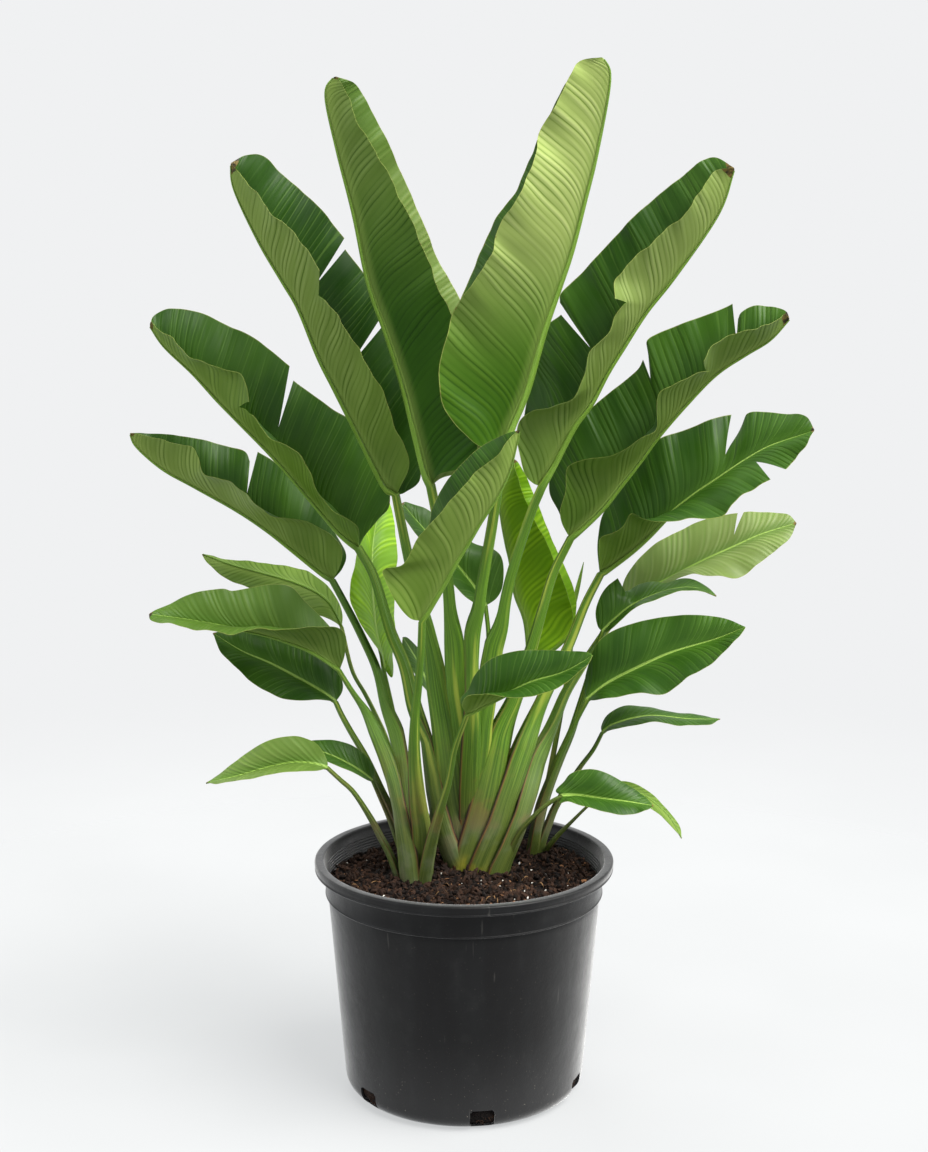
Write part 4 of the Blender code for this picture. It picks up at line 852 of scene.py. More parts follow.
def skins(build, name, rows, hand, middles, columns, thickness, leaf, seed, look, swells):
    """The upper and lower skin of one blade half, with its margin and its tears closed."""
    steps = np.linspace(0.0, 1.0, columns + 1)
    torn_rows = [row for row in rows if "kept" in row]
    previous = None
    for row in rows:
        i = row["number"]
        out = row["edge"] - row["rib"]
        length = np.linalg.norm(out)
        ahead, behind = middles[min(i + 1, len(middles) - 1)], middles[max(i - 1, 0)]
        normal = unit(np.cross(unit(ahead - behind), out)) * hand
        line = row["rib"] + np.outer(steps, out)
        for torn in torn_rows:
            if torn["lobe"] != row["lobe"]:
                continue
            near = 1 - smooth(abs(torn["share"] - row["share"]), 0.0, TEAR_REACH)
            opened = np.clip((steps - torn["kept"]) / (1 - torn["kept"]), 0, None)
            line = line + np.outer((steps - opened) * near, torn["pull"])
        away = line - row["rib"]
        ahead_by = away @ unit(ahead - behind)
        apart = np.sqrt(np.maximum((away**2).sum(axis=1) - ahead_by**2, 0.0))
        bend_out = VEIN_BEND * (1 - np.exp(-apart / VEIN_BEND_REACH))
        place = row["share"] * leaf["length"] + ahead_by - VEIN_SLANT * apart - bend_out
        rise = BLADE_BOW * length * np.sin(math.pi * steps)
        rise = rise + ripple(leaf, place, steps, row["share"], seed, swells)
        room = np.maximum(0.40 * steps * build.opening[i] - thickness, 1e-5)
        rise = np.where(rise > 0, room * np.tanh(rise / room), rise)
        line = line + np.outer(rise, normal)
        half = thickness / 2 * (1 - 0.5 * steps)
        tints = [tint_at(found.get(name, PLAIN), row["share"]) for found in (UPPER_TINTS_AND_PAINTED_LIGHT, LOWER_TINTS_AND_PAINTED_LIGHT)]
        twin = previous if previous is not None and previous["number"] == i else None
        split = round(row["kept"] * columns) if "kept" in row else 0
        top, low = [], []
        for j in range(columns + 1):
            if twin is not None and j <= split:
                top.append(twin["top"][j])
                low.append(twin["low"][j])
                continue
            if j == 0:
                known = build.middle.get(i)
                if known:
                    top.append(known[0])
                    low.append(known[1])
                    continue
            facts = (place[j], steps[j], row["share"])
            own_look = (look[0], apart[j], DRY_TIPS.get(name, 0.6))
            top.append(build.point(line[j] + normal * half[j], facts, own_look, tints[0]))
            low.append(build.point(line[j] - normal * half[j], facts, own_look, tints[1]))
            if j == 0:
                build.middle[i] = (top[0], low[0])
        row["top"], row["low"] = top, low
        if twin is not None:
            for torn in (twin, row):
                for j in range(split, columns):
                    build.face(1, torn["top"][j], torn["top"][j + 1], torn["low"][j + 1], torn["low"][j])
        elif previous is not None:
            for j in range(columns):
                for slot, skin in ((0, "top"), (1, "low")):
                    old, new = previous[skin], row[skin]
                    build.face(slot, old[j], old[j + 1], new[j + 1], new[j])
            build.face(1, previous["top"][-1], row["top"][-1], row["low"][-1], previous["low"][-1])
        previous = row
    for end in (rows[0], rows[-1]):
        for j in range(columns):
            build.face(1, end["top"][j], end["top"][j + 1], end["low"][j + 1], end["low"][j])


def section(centre, upper, side, width, height, wing, sheath, fine):
    """A stalk's section: keel below, two edges above with a groove between them, and its colour facts."""
    points, facts = [], []
    sides, groove = (SHEATH_SIDES, SHEATH_GROOVE) if fine else (ROD_SIDES, ROD_GROOVE)
    for step in range(sides):
        angle = SECTION_TURN * (2 * step / (sides - 1) - 1)
        spread = 1 + wing * smooth(abs(angle), 1.2, 2.05)
        points.append(centre + side * width * math.sin(angle) * spread - upper * height * math.cos(angle) * spread)
        facts.append(abs(angle) / SECTION_TURN)
    shoulder = 0.47 * height * (1 + wing)
    for step in range(1, groove):
        x = 1 - 2 * step / groove
        dip = 1 - abs(x) ** 2.4
        lift = shoulder * (1 - dip) + height * 0.10 * dip
        points.append(centre + side * width * 0.88 * (1 + wing) * x + upper * lift)
        facts.append(0.95 * abs(x) ** 2)
    if sheath:
        share, wrap = sheath
        points = [p + (q - p) * share for p, q in zip(points, wrap)]
    return points, facts


def wrapped(ring, outer, margin, plane, reach):
    """A sheath's section where it wraps the shoot: how far it is wrapped here, and the section's points."""
    centre, _, _, half = ring[:4]
    _, y = shown(centre)
    share = smooth(y, margin[0][1], margin[0][1] + 45)
    fall = smooth(y, 690.0, SOIL_LINE)
    own = centre[1] + (plane - centre[1]) * fall
    deep = half * (1 - fall) + reach * fall
    keel = seen((np.interp(y, *reversed(np.array(outer, float).T)), y), own)
    edge = seen((np.interp(y, *reversed(np.array(margin, float).T)), y), own - deep * math.sin(SECTION_TURN))
    run = edge - keel
    width = abs(run[0]) / (1 - math.cos(SECTION_TURN))
    points = []
    for step in range(SHEATH_SIDES + SHEATH_GROOVE - 1):
        if step < SHEATH_SIDES:
            angle, thick = SECTION_TURN * (2 * step / (SHEATH_SIDES - 1) - 1), 0.0
        else:
            angle = SECTION_TURN * (1 - 2 * (step - SHEATH_SIDES + 1) / SHEATH_GROOVE)
            thick = 0.0010 + 0.0026 * (1 - abs(angle) / SECTION_TURN)
        over = (1 - math.cos(angle)) / (1 - math.cos(SECTION_TURN))
        inward = max(1 - thick / max(width, 1e-4), 0.0)
        over = 1 / (1 - math.cos(SECTION_TURN)) * (1 - inward) + over * inward
        bulge = math.copysign(abs(math.sin(angle)) ** 0.8, angle)
        points.append(keel + run * (over, 0, over) + np.array((0.0, -(deep - thick) * bulge, 0.0)))
    return share, points


def rod(build, rings, slot, look, offset):
    """A closed tube through (centre, upper, side, width, height, wing, length so far, share, sheath)."""
    loops = []
    fine = len(rings[0]) > 8
    for centre, upper, side, width, height, wing, length, share, *sheath in rings:
        points, facts = section(centre, upper, side, width, height, wing, sheath[0] if sheath else None, fine)
        loop = [build.point(p, (length + offset, fact, share), look) for p, fact in zip(points, facts)]
        loops.append(loop)
    count = len(loops[0])
    for lower, higher in zip(loops, loops[1:]):
        for i in range(count):
            j = (i + 1) % count
            build.face(slot, lower[i], lower[j], higher[j], higher[i])
    build.face(slot, *loops[0])
    build.face(slot, *loops[-1])


def frames(leaf, near, far):
    """Row by row: the midrib's points, the ways across it and into its fold, and how wide the fold is."""
    last = max(row["number"] for row in near)
    first_of = [{}, {}]
    for found, half in zip(first_of, (near, far)):
        for row in half:
            found.setdefault(row["number"], row)
    middles = [first_of[0][i]["rib"] for i in range(last + 1)]
    across, inside, opening, lean = [], [], [], 0.0
    for i in range(last + 1):
        along = unit(middles[min(i + 1, last)] - middles[max(i - 1, 0)])
        outs = [found[i]["edge"] - middles[i] for found in first_of]
        apart = outs[0] - outs[1]
        opening.append(np.linalg.norm(apart))
        across.append(unit(apart - along * np.dot(apart, along)))
        inside.append(np.cross(along, across[-1]))
        lean += np.dot(inside[-1], outs[0] + outs[1])
    hand = 1.0 if lean > 0 else -1.0
    inside = [way * hand for way in inside]
    return middles, across, inside, hand, opening


def cut_share(leaf, line):
    """The share of the stalk's length where it leaves its clump."""
    level = seen((EYE_CENTRE[0], SHOOTS[leaf["shoot"]]["open_above"]), leaf["root"][1])[2]
    level = min(level, SOIL_TOP + 0.6 * (line.points[-1][2] - SOIL_TOP))
    return next(share for share in np.linspace(0, 1, 400) if line.at(share)[2] >= level)


def stalk_rings(leaf, line, upper, side, start, stop, step):
    """Rings down the stalk from the share stop to the share start."""
    bottom, top = leaf["stalk_width"]
    length = line.lengths[-1]
    count = max(3, round((stop - start) * length / step))
    rings = []
    for number in range(count, -1, -1):
        share = start + (stop - start) * number / count
        along = line.direction(share)
        upper = unit(upper - along * np.dot(upper, along))
        side = unit(side - along * np.dot(side, along) - upper * np.dot(side, upper))
        half = (bottom + (top - bottom) * share) / 2 * (1 + leaf.get("foot_swell", 0.0) * (1 - smooth(share, 0.1, 0.7)))
        low = 1 - smooth(share, 0.30, 0.80)
        height = half * (0.9 + DEEPER * low)
        rings.append((line.at(share), upper, side, half, height, WING * low, share * length, share))
    return rings[::-1], upper, side


def make_leaf(name, leaf, number, feet):
    """One leaf: blade halves with their skins, and the stalk that runs on as the midrib."""
    size = leaf["half_width"] / 0.09
    rows = int(60 + 130 * min(size, 1.0))
    columns = int(12 + 14 * min(size, 1.0))
    even = np.linspace(0.0, 1.0, rows + 1)
    spaced = 0.7 * even + 0.3 * (0.5 - 0.5 * np.cos(math.pi * even))
    shares = list(0.003 + 0.994 * spaced)
    for along, _ in tears_of(leaf):
        nearest = min(range(1, rows), key=lambda i: abs(shares[i] - along))
        shares[nearest] = along
    near = half_rows(leaf, "near", shares)
    far = half_rows(leaf, "far", shares)
    middles, across, inside, hand, opening = frames(leaf, near, far)
    leaf["length"] = sum(np.linalg.norm(b - a) for a, b in zip(middles, middles[1:]))
    build = Build()
    build.middle = {}
    build.opening = opening
    look = (number, 0.0, 0.0)
    swells = SWELLS.get(name, [])
    skins(build, name, near, hand, middles, columns, BLADE_THICKNESS, leaf, number * 2 + 1, look, swells)
    skins(build, name, far, -hand, middles, columns, BLADE_THICKNESS, leaf, number * 2 + 2, look, [])

    line = stalk_curve(leaf)
    cut = cut_share(leaf, line)
    first = next(i for i, share in enumerate(shares) if share > 0.02)
    rings, upper, side = stalk_rings(leaf, line, inside[first], across[first], cut, 1.0, 0.008)
    lower, _, _ = stalk_rings(leaf, line, upper, side, 0.0, cut, 0.006)
    if name in SHEATHS:
        lower = [(*ring, wrapped(ring, *SHEATHS[name])) for ring in lower]
        rings = [(*ring, wrapped(ring, *SHEATHS[name])) for ring in rings]
    feet[leaf["shoot"]].append((lower, look))
    neck_half = leaf["stalk_width"][1] / 2
    for i in range(first, len(middles), 2):
        share = shares[i]
        deep = neck_half * 0.9 * (1 - share) ** 0.8 + RIB_TIP_DEPTH * share
        slim = 1.0 - 0.36 * smooth(share, 0.0, 0.07)
        drop = 0.30 * smooth(share, 0.0, 0.05)
        centre = middles[i] - inside[i] * deep * drop
        width = deep / 0.9 * slim
        past = line.lengths[-1] + share * leaf["length"]
        rings.append((centre, inside[i], across[i], width, deep * (1 - drop), 0.0, past, 1.0 + share))
    rod(build, rings, 2, look, 0.0)
    made = build.finish(name + "_blade", [upper_skin, lower_skin, stalk_skin])
    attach(made, "root")
    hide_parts(name)
    return made


def make_spear(leaf, number, feet):
    """The rolled young leaf: a round shaft that swells and ends in a point."""
    upper, side = np.array((0.0, -1.0, 0.0)), np.array((1.0, 0.0, 0.0))
    line = stalk_curve(leaf)
    cut = cut_share(leaf, line)
    rings, upper, side = stalk_rings(leaf, line, upper, side, cut, 1.0, 0.008)
    lower, _, _ = stalk_rings(leaf, line, upper, side, 0.0, cut, 0.008)
    feet[leaf["shoot"]].append((lower, (number, 0.0, 0.0)))
    tip = seen(leaf["tip"], leaf["depth"][2])
    neck, top_upper, top_side = rings[-1][:3]
    half = leaf["stalk_width"][1] / 2
    for step in range(1, 13):
        share = step / 12
        width = half * (1 + 0.15 * math.sin(math.pi * share)) * (1 - share**2.2) + 0.0004
        past = line.lengths[-1] + share * np.linalg.norm(tip - neck)
        centre = neck + (tip - neck) * share
        rings.append((centre, top_upper, top_side, width, width, 0.0, past, 1 + share))
    build = Build()
    rod(build, rings, 0, (number, 0.0, 0.0), 0.0)
    made = build.finish("leaf_rolled_blade", [stalk_skin])
    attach(made, "root")
    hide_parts("leaf_rolled")


def make_clump(name, feet):
    """The stalks of one clump from the soil to where the leaves leave it."""
    build = Build()
    for rings, look in feet:
        rod(build, rings, 0, look, 0.0)
    made = build.finish(name + "_sheaths", [stalk_skin])
    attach(made, "root")
    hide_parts(name)


class Shader:
    """A node material put together in short calls."""

    def __init__(self, name):
        self.material = bpy.data.materials.new(name)
        self.material.use_nodes = True
        self.tree = self.material.node_tree
        self.tree.nodes.clear()
        self.output = self.tree.nodes.new("ShaderNodeOutputMaterial")

    def put(self, socket, value):
        if isinstance(value, bpy.types.NodeSocket):
            self.tree.links.new(value, socket)
        else:
            socket.default_value = value

    def node(self, kind, settings=None, **inputs):
        made = self.tree.nodes.new("ShaderNode" + kind)
        for key, value in (settings or {}).items():
            setattr(made, key, value)
        for key, value in inputs.items():
            self.put(made.inputs[key.replace("_", " ")], value)
        return made

    def fact(self, name, output="Vector"):
        return self.node("Attribute", {"attribute_name": name}).outputs[output]

    def parts(self, vector):
        return self.node("SeparateXYZ", Vector=vector).outputs

    def join(self, x=0.0, y=0.0, z=0.0):
        return self.node("CombineXYZ", X=x, Y=y, Z=z).outputs[0]

    def math(self, kind, *values):
        made = self.node("Math", {"operation": kind})
        for socket, value in zip(made.inputs, values):
            self.put(socket, value)
        return made.outputs[0]

    def noise(self, vector, scale, detail=2.0, roughness=0.5):
        found = self.node("TexNoise", Vector=vector, Scale=scale, Detail=detail, Roughness=roughness)
        return found.outputs["Fac"]

    def ramp(self, value, low, high, start=0.0, stop=1.0):
        made = self.node("MapRange", {"interpolation_type": "SMOOTHSTEP"}, Value=value)
        for key, number in zip(("From Min", "From Max", "To Min", "To Max"), (low, high, start, stop)):
            self.put(made.inputs[key], number)
        return made.outputs[0]

    def mix(self, share, first, second, blend="MIX"):
        made = self.node("Mix", {"data_type": "RGBA", "blend_type": blend})
        self.put(made.inputs[0], share)
        self.put(made.inputs[6], first)
        self.put(made.inputs[7], second)
        return made.outputs[2]

    def bump(self, height, distance, strength=1.0, normal=None):
        made = self.node("Bump", Height=height, Distance=distance, Strength=strength)
        if normal is not None:
            self.put(made.inputs["Normal"], normal)
        return made.outputs[0]

    def surface(self, **inputs):
        return self.node("BsdfPrincipled", **inputs)

    def close(self, shader):
        self.tree.links.new(shader.outputs[0], self.output.inputs["Surface"])
        return self.material


def colour(red, green, blue):
    """A display colour, 0 to 255, as the linear colour that a shader takes."""
    found = []
    for value in (red, green, blue):
        value = value / 255
        found.append(value / 12.92 if value <= 0.04045 else ((value + 0.055) / 1.055) ** 2.4)
    return (*found, 1.0)


def blade_material(name, shades, line, relief, shine, glow):
    """A leaf skin: pleats and side veins that sweep out from the midrib, a pale midrib and a dry tip, with painted
    light on the pleats' ridges and the painted glow, light and shade that the tint attribute carries.

    The line is the colour of the thin lines in the pleats' valleys, how strong it is, and whether it darkens the skin
    instead of covering it: covering, they are pale veins; darkening, they are painted shade in the valleys.
    """
    deep, middle, light = shades
    s = Shader(name)
    along, out, share = s.parts(s.fact("place"))
    number, apart, dryness = s.parts(s.fact("look"))
    # The tint's shares: young (yellow green, brightened as a painted glow), pale (whitish bloom and painted light) and
    # dark (painted shade)
    young, pale, dark = s.parts(s.fact("tint"))
    where = s.node("TexCoord").outputs["Object"]

    def streaks(across, outward, start=0.0, detail=1.0):
        seed = s.math("ADD", number, start)
        return s.noise(s.join(s.math("MULTIPLY", along, across), s.math("MULTIPLY", apart, outward), seed), 1.0, detail)

    drift = s.math("MULTIPLY", streaks(30.0, 8.0), 9.0)
    phase = s.math("ADD", s.math("MULTIPLY", along, math.tau / VEIN_GAP), drift)
    wave = s.math("MULTIPLY_ADD", s.math("SINE", phase), 0.5, 0.5)
    vary = s.ramp(streaks(55.0, 8.0, 31.0), 0.36, 0.64, 0.12, 1.0)
    pleat = s.math("MULTIPLY", wave, vary)
    fine = streaks(1300.0, 9.0, 57.0)
    bands = streaks(19.0, 8.0, 83.0)
    patch = s.noise(where, 9.0, 3.0)

    skin = s.mix(s.ramp(patch, 0.34, 0.68), deep, middle)
    # Lighter stripes on the pleats' ridges: partly vein colour, partly painted light on the ridges
    skin = s.mix(s.math("MULTIPLY", pleat, s.math("MULTIPLY_ADD", dark, -0.20, 0.34)), skin, light)
    skin = s.mix(s.ramp(bands, 0.45, 0.72, 0.0, 0.30), skin, light)
    skin = s.mix(s.ramp(fine, 0.30, 0.70, 0.0, 0.16), skin, s.mix(1.0, skin, colour(150, 160, 120), "MULTIPLY"))
    # Pale share: a whitish bloom, and painted light where a blade faces the lamps
    skin = s.mix(pale, skin, s.mix(pleat, colour(146, 162, 90), colour(172, 184, 118)))
    # Dark share: painted shade, a deeper green
    skin = s.mix(dark, skin, s.mix(1.0, skin, colour(130, 178, 94), "MULTIPLY"))
    # Young share: young leaves' yellow green, brightened as a painted glow of light through the leaf
    skin = s.mix(young, skin, s.mix(pleat, colour(98, 142, 8), colour(132, 172, 24)))
    # Thin lines in the pleats' valleys: on the upper skin pale veins, on the lower skin painted shade
    valley = s.math("MULTIPLY", s.ramp(wave, 0.14, 0.0), vary)
    valley = s.math("MULTIPLY", valley, s.math("MULTIPLY_ADD", young, -0.6, line[1]))
    skin = s.mix(valley, skin, s.mix(1.0, skin, line[0], "MULTIPLY") if line[2] else line[0])
    skin = s.mix(s.ramp(apart, 0.013, 0.002, 0.0, 0.42), skin, light)
    rib_reach = s.math("DIVIDE", apart, s.math("SUBTRACT", 1.08, share))
    skin = s.mix(s.ramp(rib_reach, 0.0034, 0.0020, 0.0, 0.85), skin, colour(142, 172, 82))
    skin = s.mix(s.ramp(out, 0.988, 0.998, 0.0, 0.45), skin, colour(170, 172, 96))
    speck = s.noise(where, 160.0, 2.0)
    reach = s.math("MULTIPLY_ADD", dryness, -0.030, 1.0)
    dry = s.math("GREATER_THAN", s.math("MULTIPLY_ADD", speck, 0.012, share), s.math("ADD", reach, 0.006))
    worn = s.math("MULTIPLY", s.ramp(out, 0.975, 0.995), s.ramp(speck, 0.64, 0.70, 0.0, 0.8))
    skin = s.mix(s.math("MAXIMUM", dry, worn), skin, s.mix(s.ramp(speck, 0.4, 0.6), colour(40, 34, 22), colour(104, 88, 44)))

    normal = s.bump(s.math("ADD", pleat, s.math("MULTIPLY", fine, 0.10)), relief)
    rough = s.ramp(streaks(140.0, 30.0, 11.0, 2.0), 0.3, 0.7, shine[0] - 0.05, shine[0] + 0.07)
    leaf = s.surface(Base_Color=skin, Roughness=rough, Normal=normal)
    leaf.inputs["Specular IOR Level"].default_value = shine[1]
    through = s.node("BsdfTranslucent", Color=s.mix(0.6, skin, colour(120, 168, 8)), Normal=normal)
    blend = s.node("MixShader")
    blend.inputs[0].default_value = glow
    s.tree.links.new(leaf.outputs[0], blend.inputs[1])
    s.tree.links.new(through.outputs[0], blend.inputs[2])
    return s.close(blend)


def stalk_material():
    """Stalk and midrib: long fibres, brown edges low on the sheath, a waxy bloom and an old foot."""
    s = Shader("leaf_stalk")
    along, round_, share = s.parts(s.fact("place"))
    number, _, _ = s.parts(s.fact("look"))
    where = s.node("TexCoord").outputs["Object"]
    height = s.parts(where)[2]

    def strands(length, across, start=0.0, detail=2.0):
        seed = s.math("ADD", number, start)
        return s.noise(s.join(s.math("MULTIPLY", along, length), s.math("MULTIPLY", round_, across), seed), 1.0, detail)

    fibre = strands(9.0, 22.0, 0.0, 3.0)
    fine = strands(24.0, 110.0, 17.0)
    tint = strands(5.0, 2.5, 41.0, 1.0)
    patch = s.noise(where, 26.0, 3.0)
    foot = s.ramp(height, 0.470, 0.300)
    green = s.mix(s.ramp(fibre, 0.30, 0.72), colour(52, 88, 14), colour(88, 124, 28))
    green = s.mix(s.ramp(tint, 0.52, 0.68, 0.0, 0.75), green, colour(146, 158, 58))
    sheath = s.mix(s.ramp(fibre, 0.30, 0.70), colour(58, 74, 26), colour(86, 98, 42))
    sheath = s.mix(s.ramp(patch, 0.50, 0.66, 0.0, 0.7), sheath, colour(104, 84, 46))
    sheath = s.mix(s.ramp(tint, 0.52, 0.70, 0.0, 0.6), sheath, colour(108, 116, 50))
    skin = s.mix(foot, green, sheath)
    rib = s.mix(s.ramp(fine, 0.3, 0.7), colour(78, 118, 26), colour(122, 154, 56))
    skin = s.mix(s.ramp(share, 0.98, 1.06), skin, rib)
    low = s.ramp(height, 0.360, 0.285)
    bloom = s.math("MULTIPLY", low, s.ramp(patch, 0.42, 0.60))
    skin = s.mix(s.math("MULTIPLY", bloom, 0.55), skin, colour(98, 110, 84))
    spot = s.node("VectorMath", {"operation": "DISTANCE"})
    s.put(spot.inputs[0], where)
    s.put(spot.inputs[1], tuple(seen(YELLOW_SPOT, 0.0)))
    root = s.math("MULTIPLY", s.ramp(spot.outputs["Value"], 0.028, 0.008), s.ramp(patch, 0.34, 0.52))
    skin = s.mix(s.math("MULTIPLY", root, 0.9), skin, colour(142, 132, 30))
    edge = s.math("MULTIPLY", s.ramp(round_, 0.885, 0.965), s.ramp(share, 0.66, 0.34))
    brown = s.mix(s.ramp(round_, 0.985, 0.935), colour(30, 19, 20), colour(118, 84, 42))
    brown = s.mix(s.ramp(fine, 0.46, 0.66), brown, colour(58, 34, 28))
    skin = s.mix(s.math("MULTIPLY", edge, s.ramp(fibre, 0.30, 0.50, 0.6, 1.0)), skin, brown)
    relief = s.math("ADD", s.math("MULTIPLY", fibre, 0.8), s.math("MULTIPLY", fine, 0.35))
    stalk = s.surface(
        Base_Color=skin,
        Roughness=s.ramp(fine, 0.3, 0.7, 0.36, 0.50),
        Normal=s.bump(relief, 0.0012),
    )
    stalk.inputs["Specular IOR Level"].default_value = 0.24
    return s.close(stalk)


def pot_material():
    """Charcoal moulded plastic: a fine satin skin, faint flow marks, dust and light scuffs, and a painted reflection of
    the floor that makes the wall lighter towards the bottom.
    """
    s = Shader("pot_plastic_skin")
    where = s.node("TexCoord").outputs["Object"]
    x, y, z = s.parts(where)

    def streaks(across, upward, detail):
        spread = [s.math("MULTIPLY", axis, across) for axis in (x, y)]
        return s.noise(s.join(*spread, s.math("MULTIPLY", z, upward)), 1.0, detail)

    grain = s.noise(where, 1100.0, 2.0)
    flow = streaks(30.0, 5.0, 4.0)
    smear = s.noise(where, 38.0, 5.0, 0.6)
    dust = s.noise(where, 520.0, 3.0)
    settled = s.ramp(z, 0.12, 0.0, 0.0, 1.0)
    scratch = streaks(120.0, 9.0, 1.0)
    base = s.mix(s.ramp(flow, 0.35, 0.70), colour(8, 8, 9), colour(14, 15, 16))
    film = s.math("MULTIPLY", s.ramp(smear, 0.46, 0.74), s.ramp(flow, 0.40, 0.62))
    base = s.mix(s.math("MULTIPLY", film, 0.07), base, colour(74, 74, 72))
    # Painted reflection of the floor: the wall turns a lighter grey towards the bottom
    base = s.mix(s.ramp(z, 0.13, 0.0, 0.0, 0.5), base, colour(46, 46, 47))
    base = s.mix(s.ramp(scratch, 0.735, 0.765, 0.0, 0.16), base, colour(96, 94, 90))
    specks = s.math("MULTIPLY", s.ramp(dust, 0.70, 0.74), s.math("MULTIPLY_ADD", settled, 0.8, 0.2))
    base = s.mix(s.math("MULTIPLY", specks, 0.6), base, colour(150, 144, 132))
    relief = s.math("ADD", s.math("MULTIPLY", grain, 0.20), s.math("MULTIPLY", smear, 0.9))
    skin = s.surface(
        Base_Color=base,
        Roughness=s.ramp(smear, 0.3, 0.7, 0.34, 0.50),
        Normal=s.bump(relief, 0.0006),
    )
    skin.inputs["Specular IOR Level"].default_value = 0.13
    skin.inputs["Sheen Weight"].default_value = 0.60
    skin.inputs["Sheen Roughness"].default_value = 0.34
    return s.close(skin)


def soil_material():
    s = Shader("potting_mix_skin")
    where = s.node("TexCoord").outputs["Object"]
    wet = s.noise(where, 26.0, 3.0)
    big = s.noise(where, 90.0, 4.0)
    small = s.noise(where, 520.0, 4.0)
    base = s.mix(s.ramp(big, 0.35, 0.68), colour(12, 8, 7), colour(36, 24, 17))
    base = s.mix(s.ramp(small, 0.54, 0.70), base, colour(66, 45, 31))
    base = s.mix(s.ramp(wet, 0.47, 0.56, 0.0, 0.85), base, colour(7, 5, 5))
    normal = s.bump(s.math("ADD", big, small), 0.004)
    mix = s.surface(Base_Color=base, Roughness=0.9, Normal=normal)
    mix.inputs["Specular IOR Level"].default_value = 0.15
    return s.close(mix)


def bits_material(name, dark, light, rough):
    """Chips, grains and fibres, each with a tone of its own."""
    s = Shader(name)
    tone = s.fact("tone", "Fac")
    grain = s.noise(s.node("TexCoord").outputs["Object"], 700.0, 2.0)
    base = s.mix(tone, dark, light)
    base = s.mix(s.ramp(grain, 0.4, 0.7, 0.0, 0.4), base, s.mix(1.0, base, colour(150, 140, 130), "MULTIPLY"))
    bits = s.surface(Base_Color=base, Roughness=rough, Normal=s.bump(grain, 0.0006))
    bits.inputs["Specular IOR Level"].default_value = 0.2
    return s.close(bits)


def floor_material():
    """Near-white floor that fades out into the white around it."""
    s = Shader("studio_floor")
    where = s.node("TexCoord").outputs["Object"]
    x, y, _ = s.parts(where)
    reach = s.math("SQRT", s.math("ADD", s.math("MULTIPLY", x, x), s.math("MULTIPLY", y, y)))
    grain = s.noise(where, 3.0, 2.0)
    base = s.mix(s.ramp(grain, 0.3, 0.7), *[(g * 0.985, g, g * 1.02, 1.0) for g in FLOOR_GREY])
    paper = s.surface(Base_Color=base, Roughness=0.9)
    paper.inputs["Emission Color"].default_value = (0.975, 0.995, 1.0, 1.0)
    paper.inputs["Emission Strength"].default_value = FLOOR_GLOW
    paper.inputs["Specular IOR Level"].default_value = 0.0
    clear = s.node("BsdfTransparent")
    blend = s.node("MixShader")
    s.put(blend.inputs[0], s.ramp(reach, 0.75, 2.2))
    s.tree.links.new(paper.outputs[0], blend.inputs[1])
    s.tree.links.new(clear.outputs[0], blend.inputs[2])
    return s.close(blend)


def link(made):
    bpy.context.scene.collection.objects.link(made)
    return made


def piece(name, data, finish, node=None, angle=40):
    """Adds a mesh as one named piece of the plant's one body."""
    data.materials.append(finish)
    made = link(bpy.data.objects.new(name, data))
    data.shade_smooth()
    data.set_sharp_from_angle(angle=math.radians(angle))
    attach(made, "root")
    if node:
        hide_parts(node)
    return made


def wall_radius(height):
    return BASE_RADIUS + (WALL_TOP_RADIUS - BASE_RADIUS) * height / COLLAR_BOTTOM


def arc(centre, radius, start, stop, steps):
    """Points on an arc in the profile's plane, in degrees from the outward direction, counterclockwise."""
    turns = np.radians(np.linspace(start, stop, steps + 1))
    return [(centre[0] + radius * math.cos(a), centre[1] + radius * math.sin(a)) for a in turns]


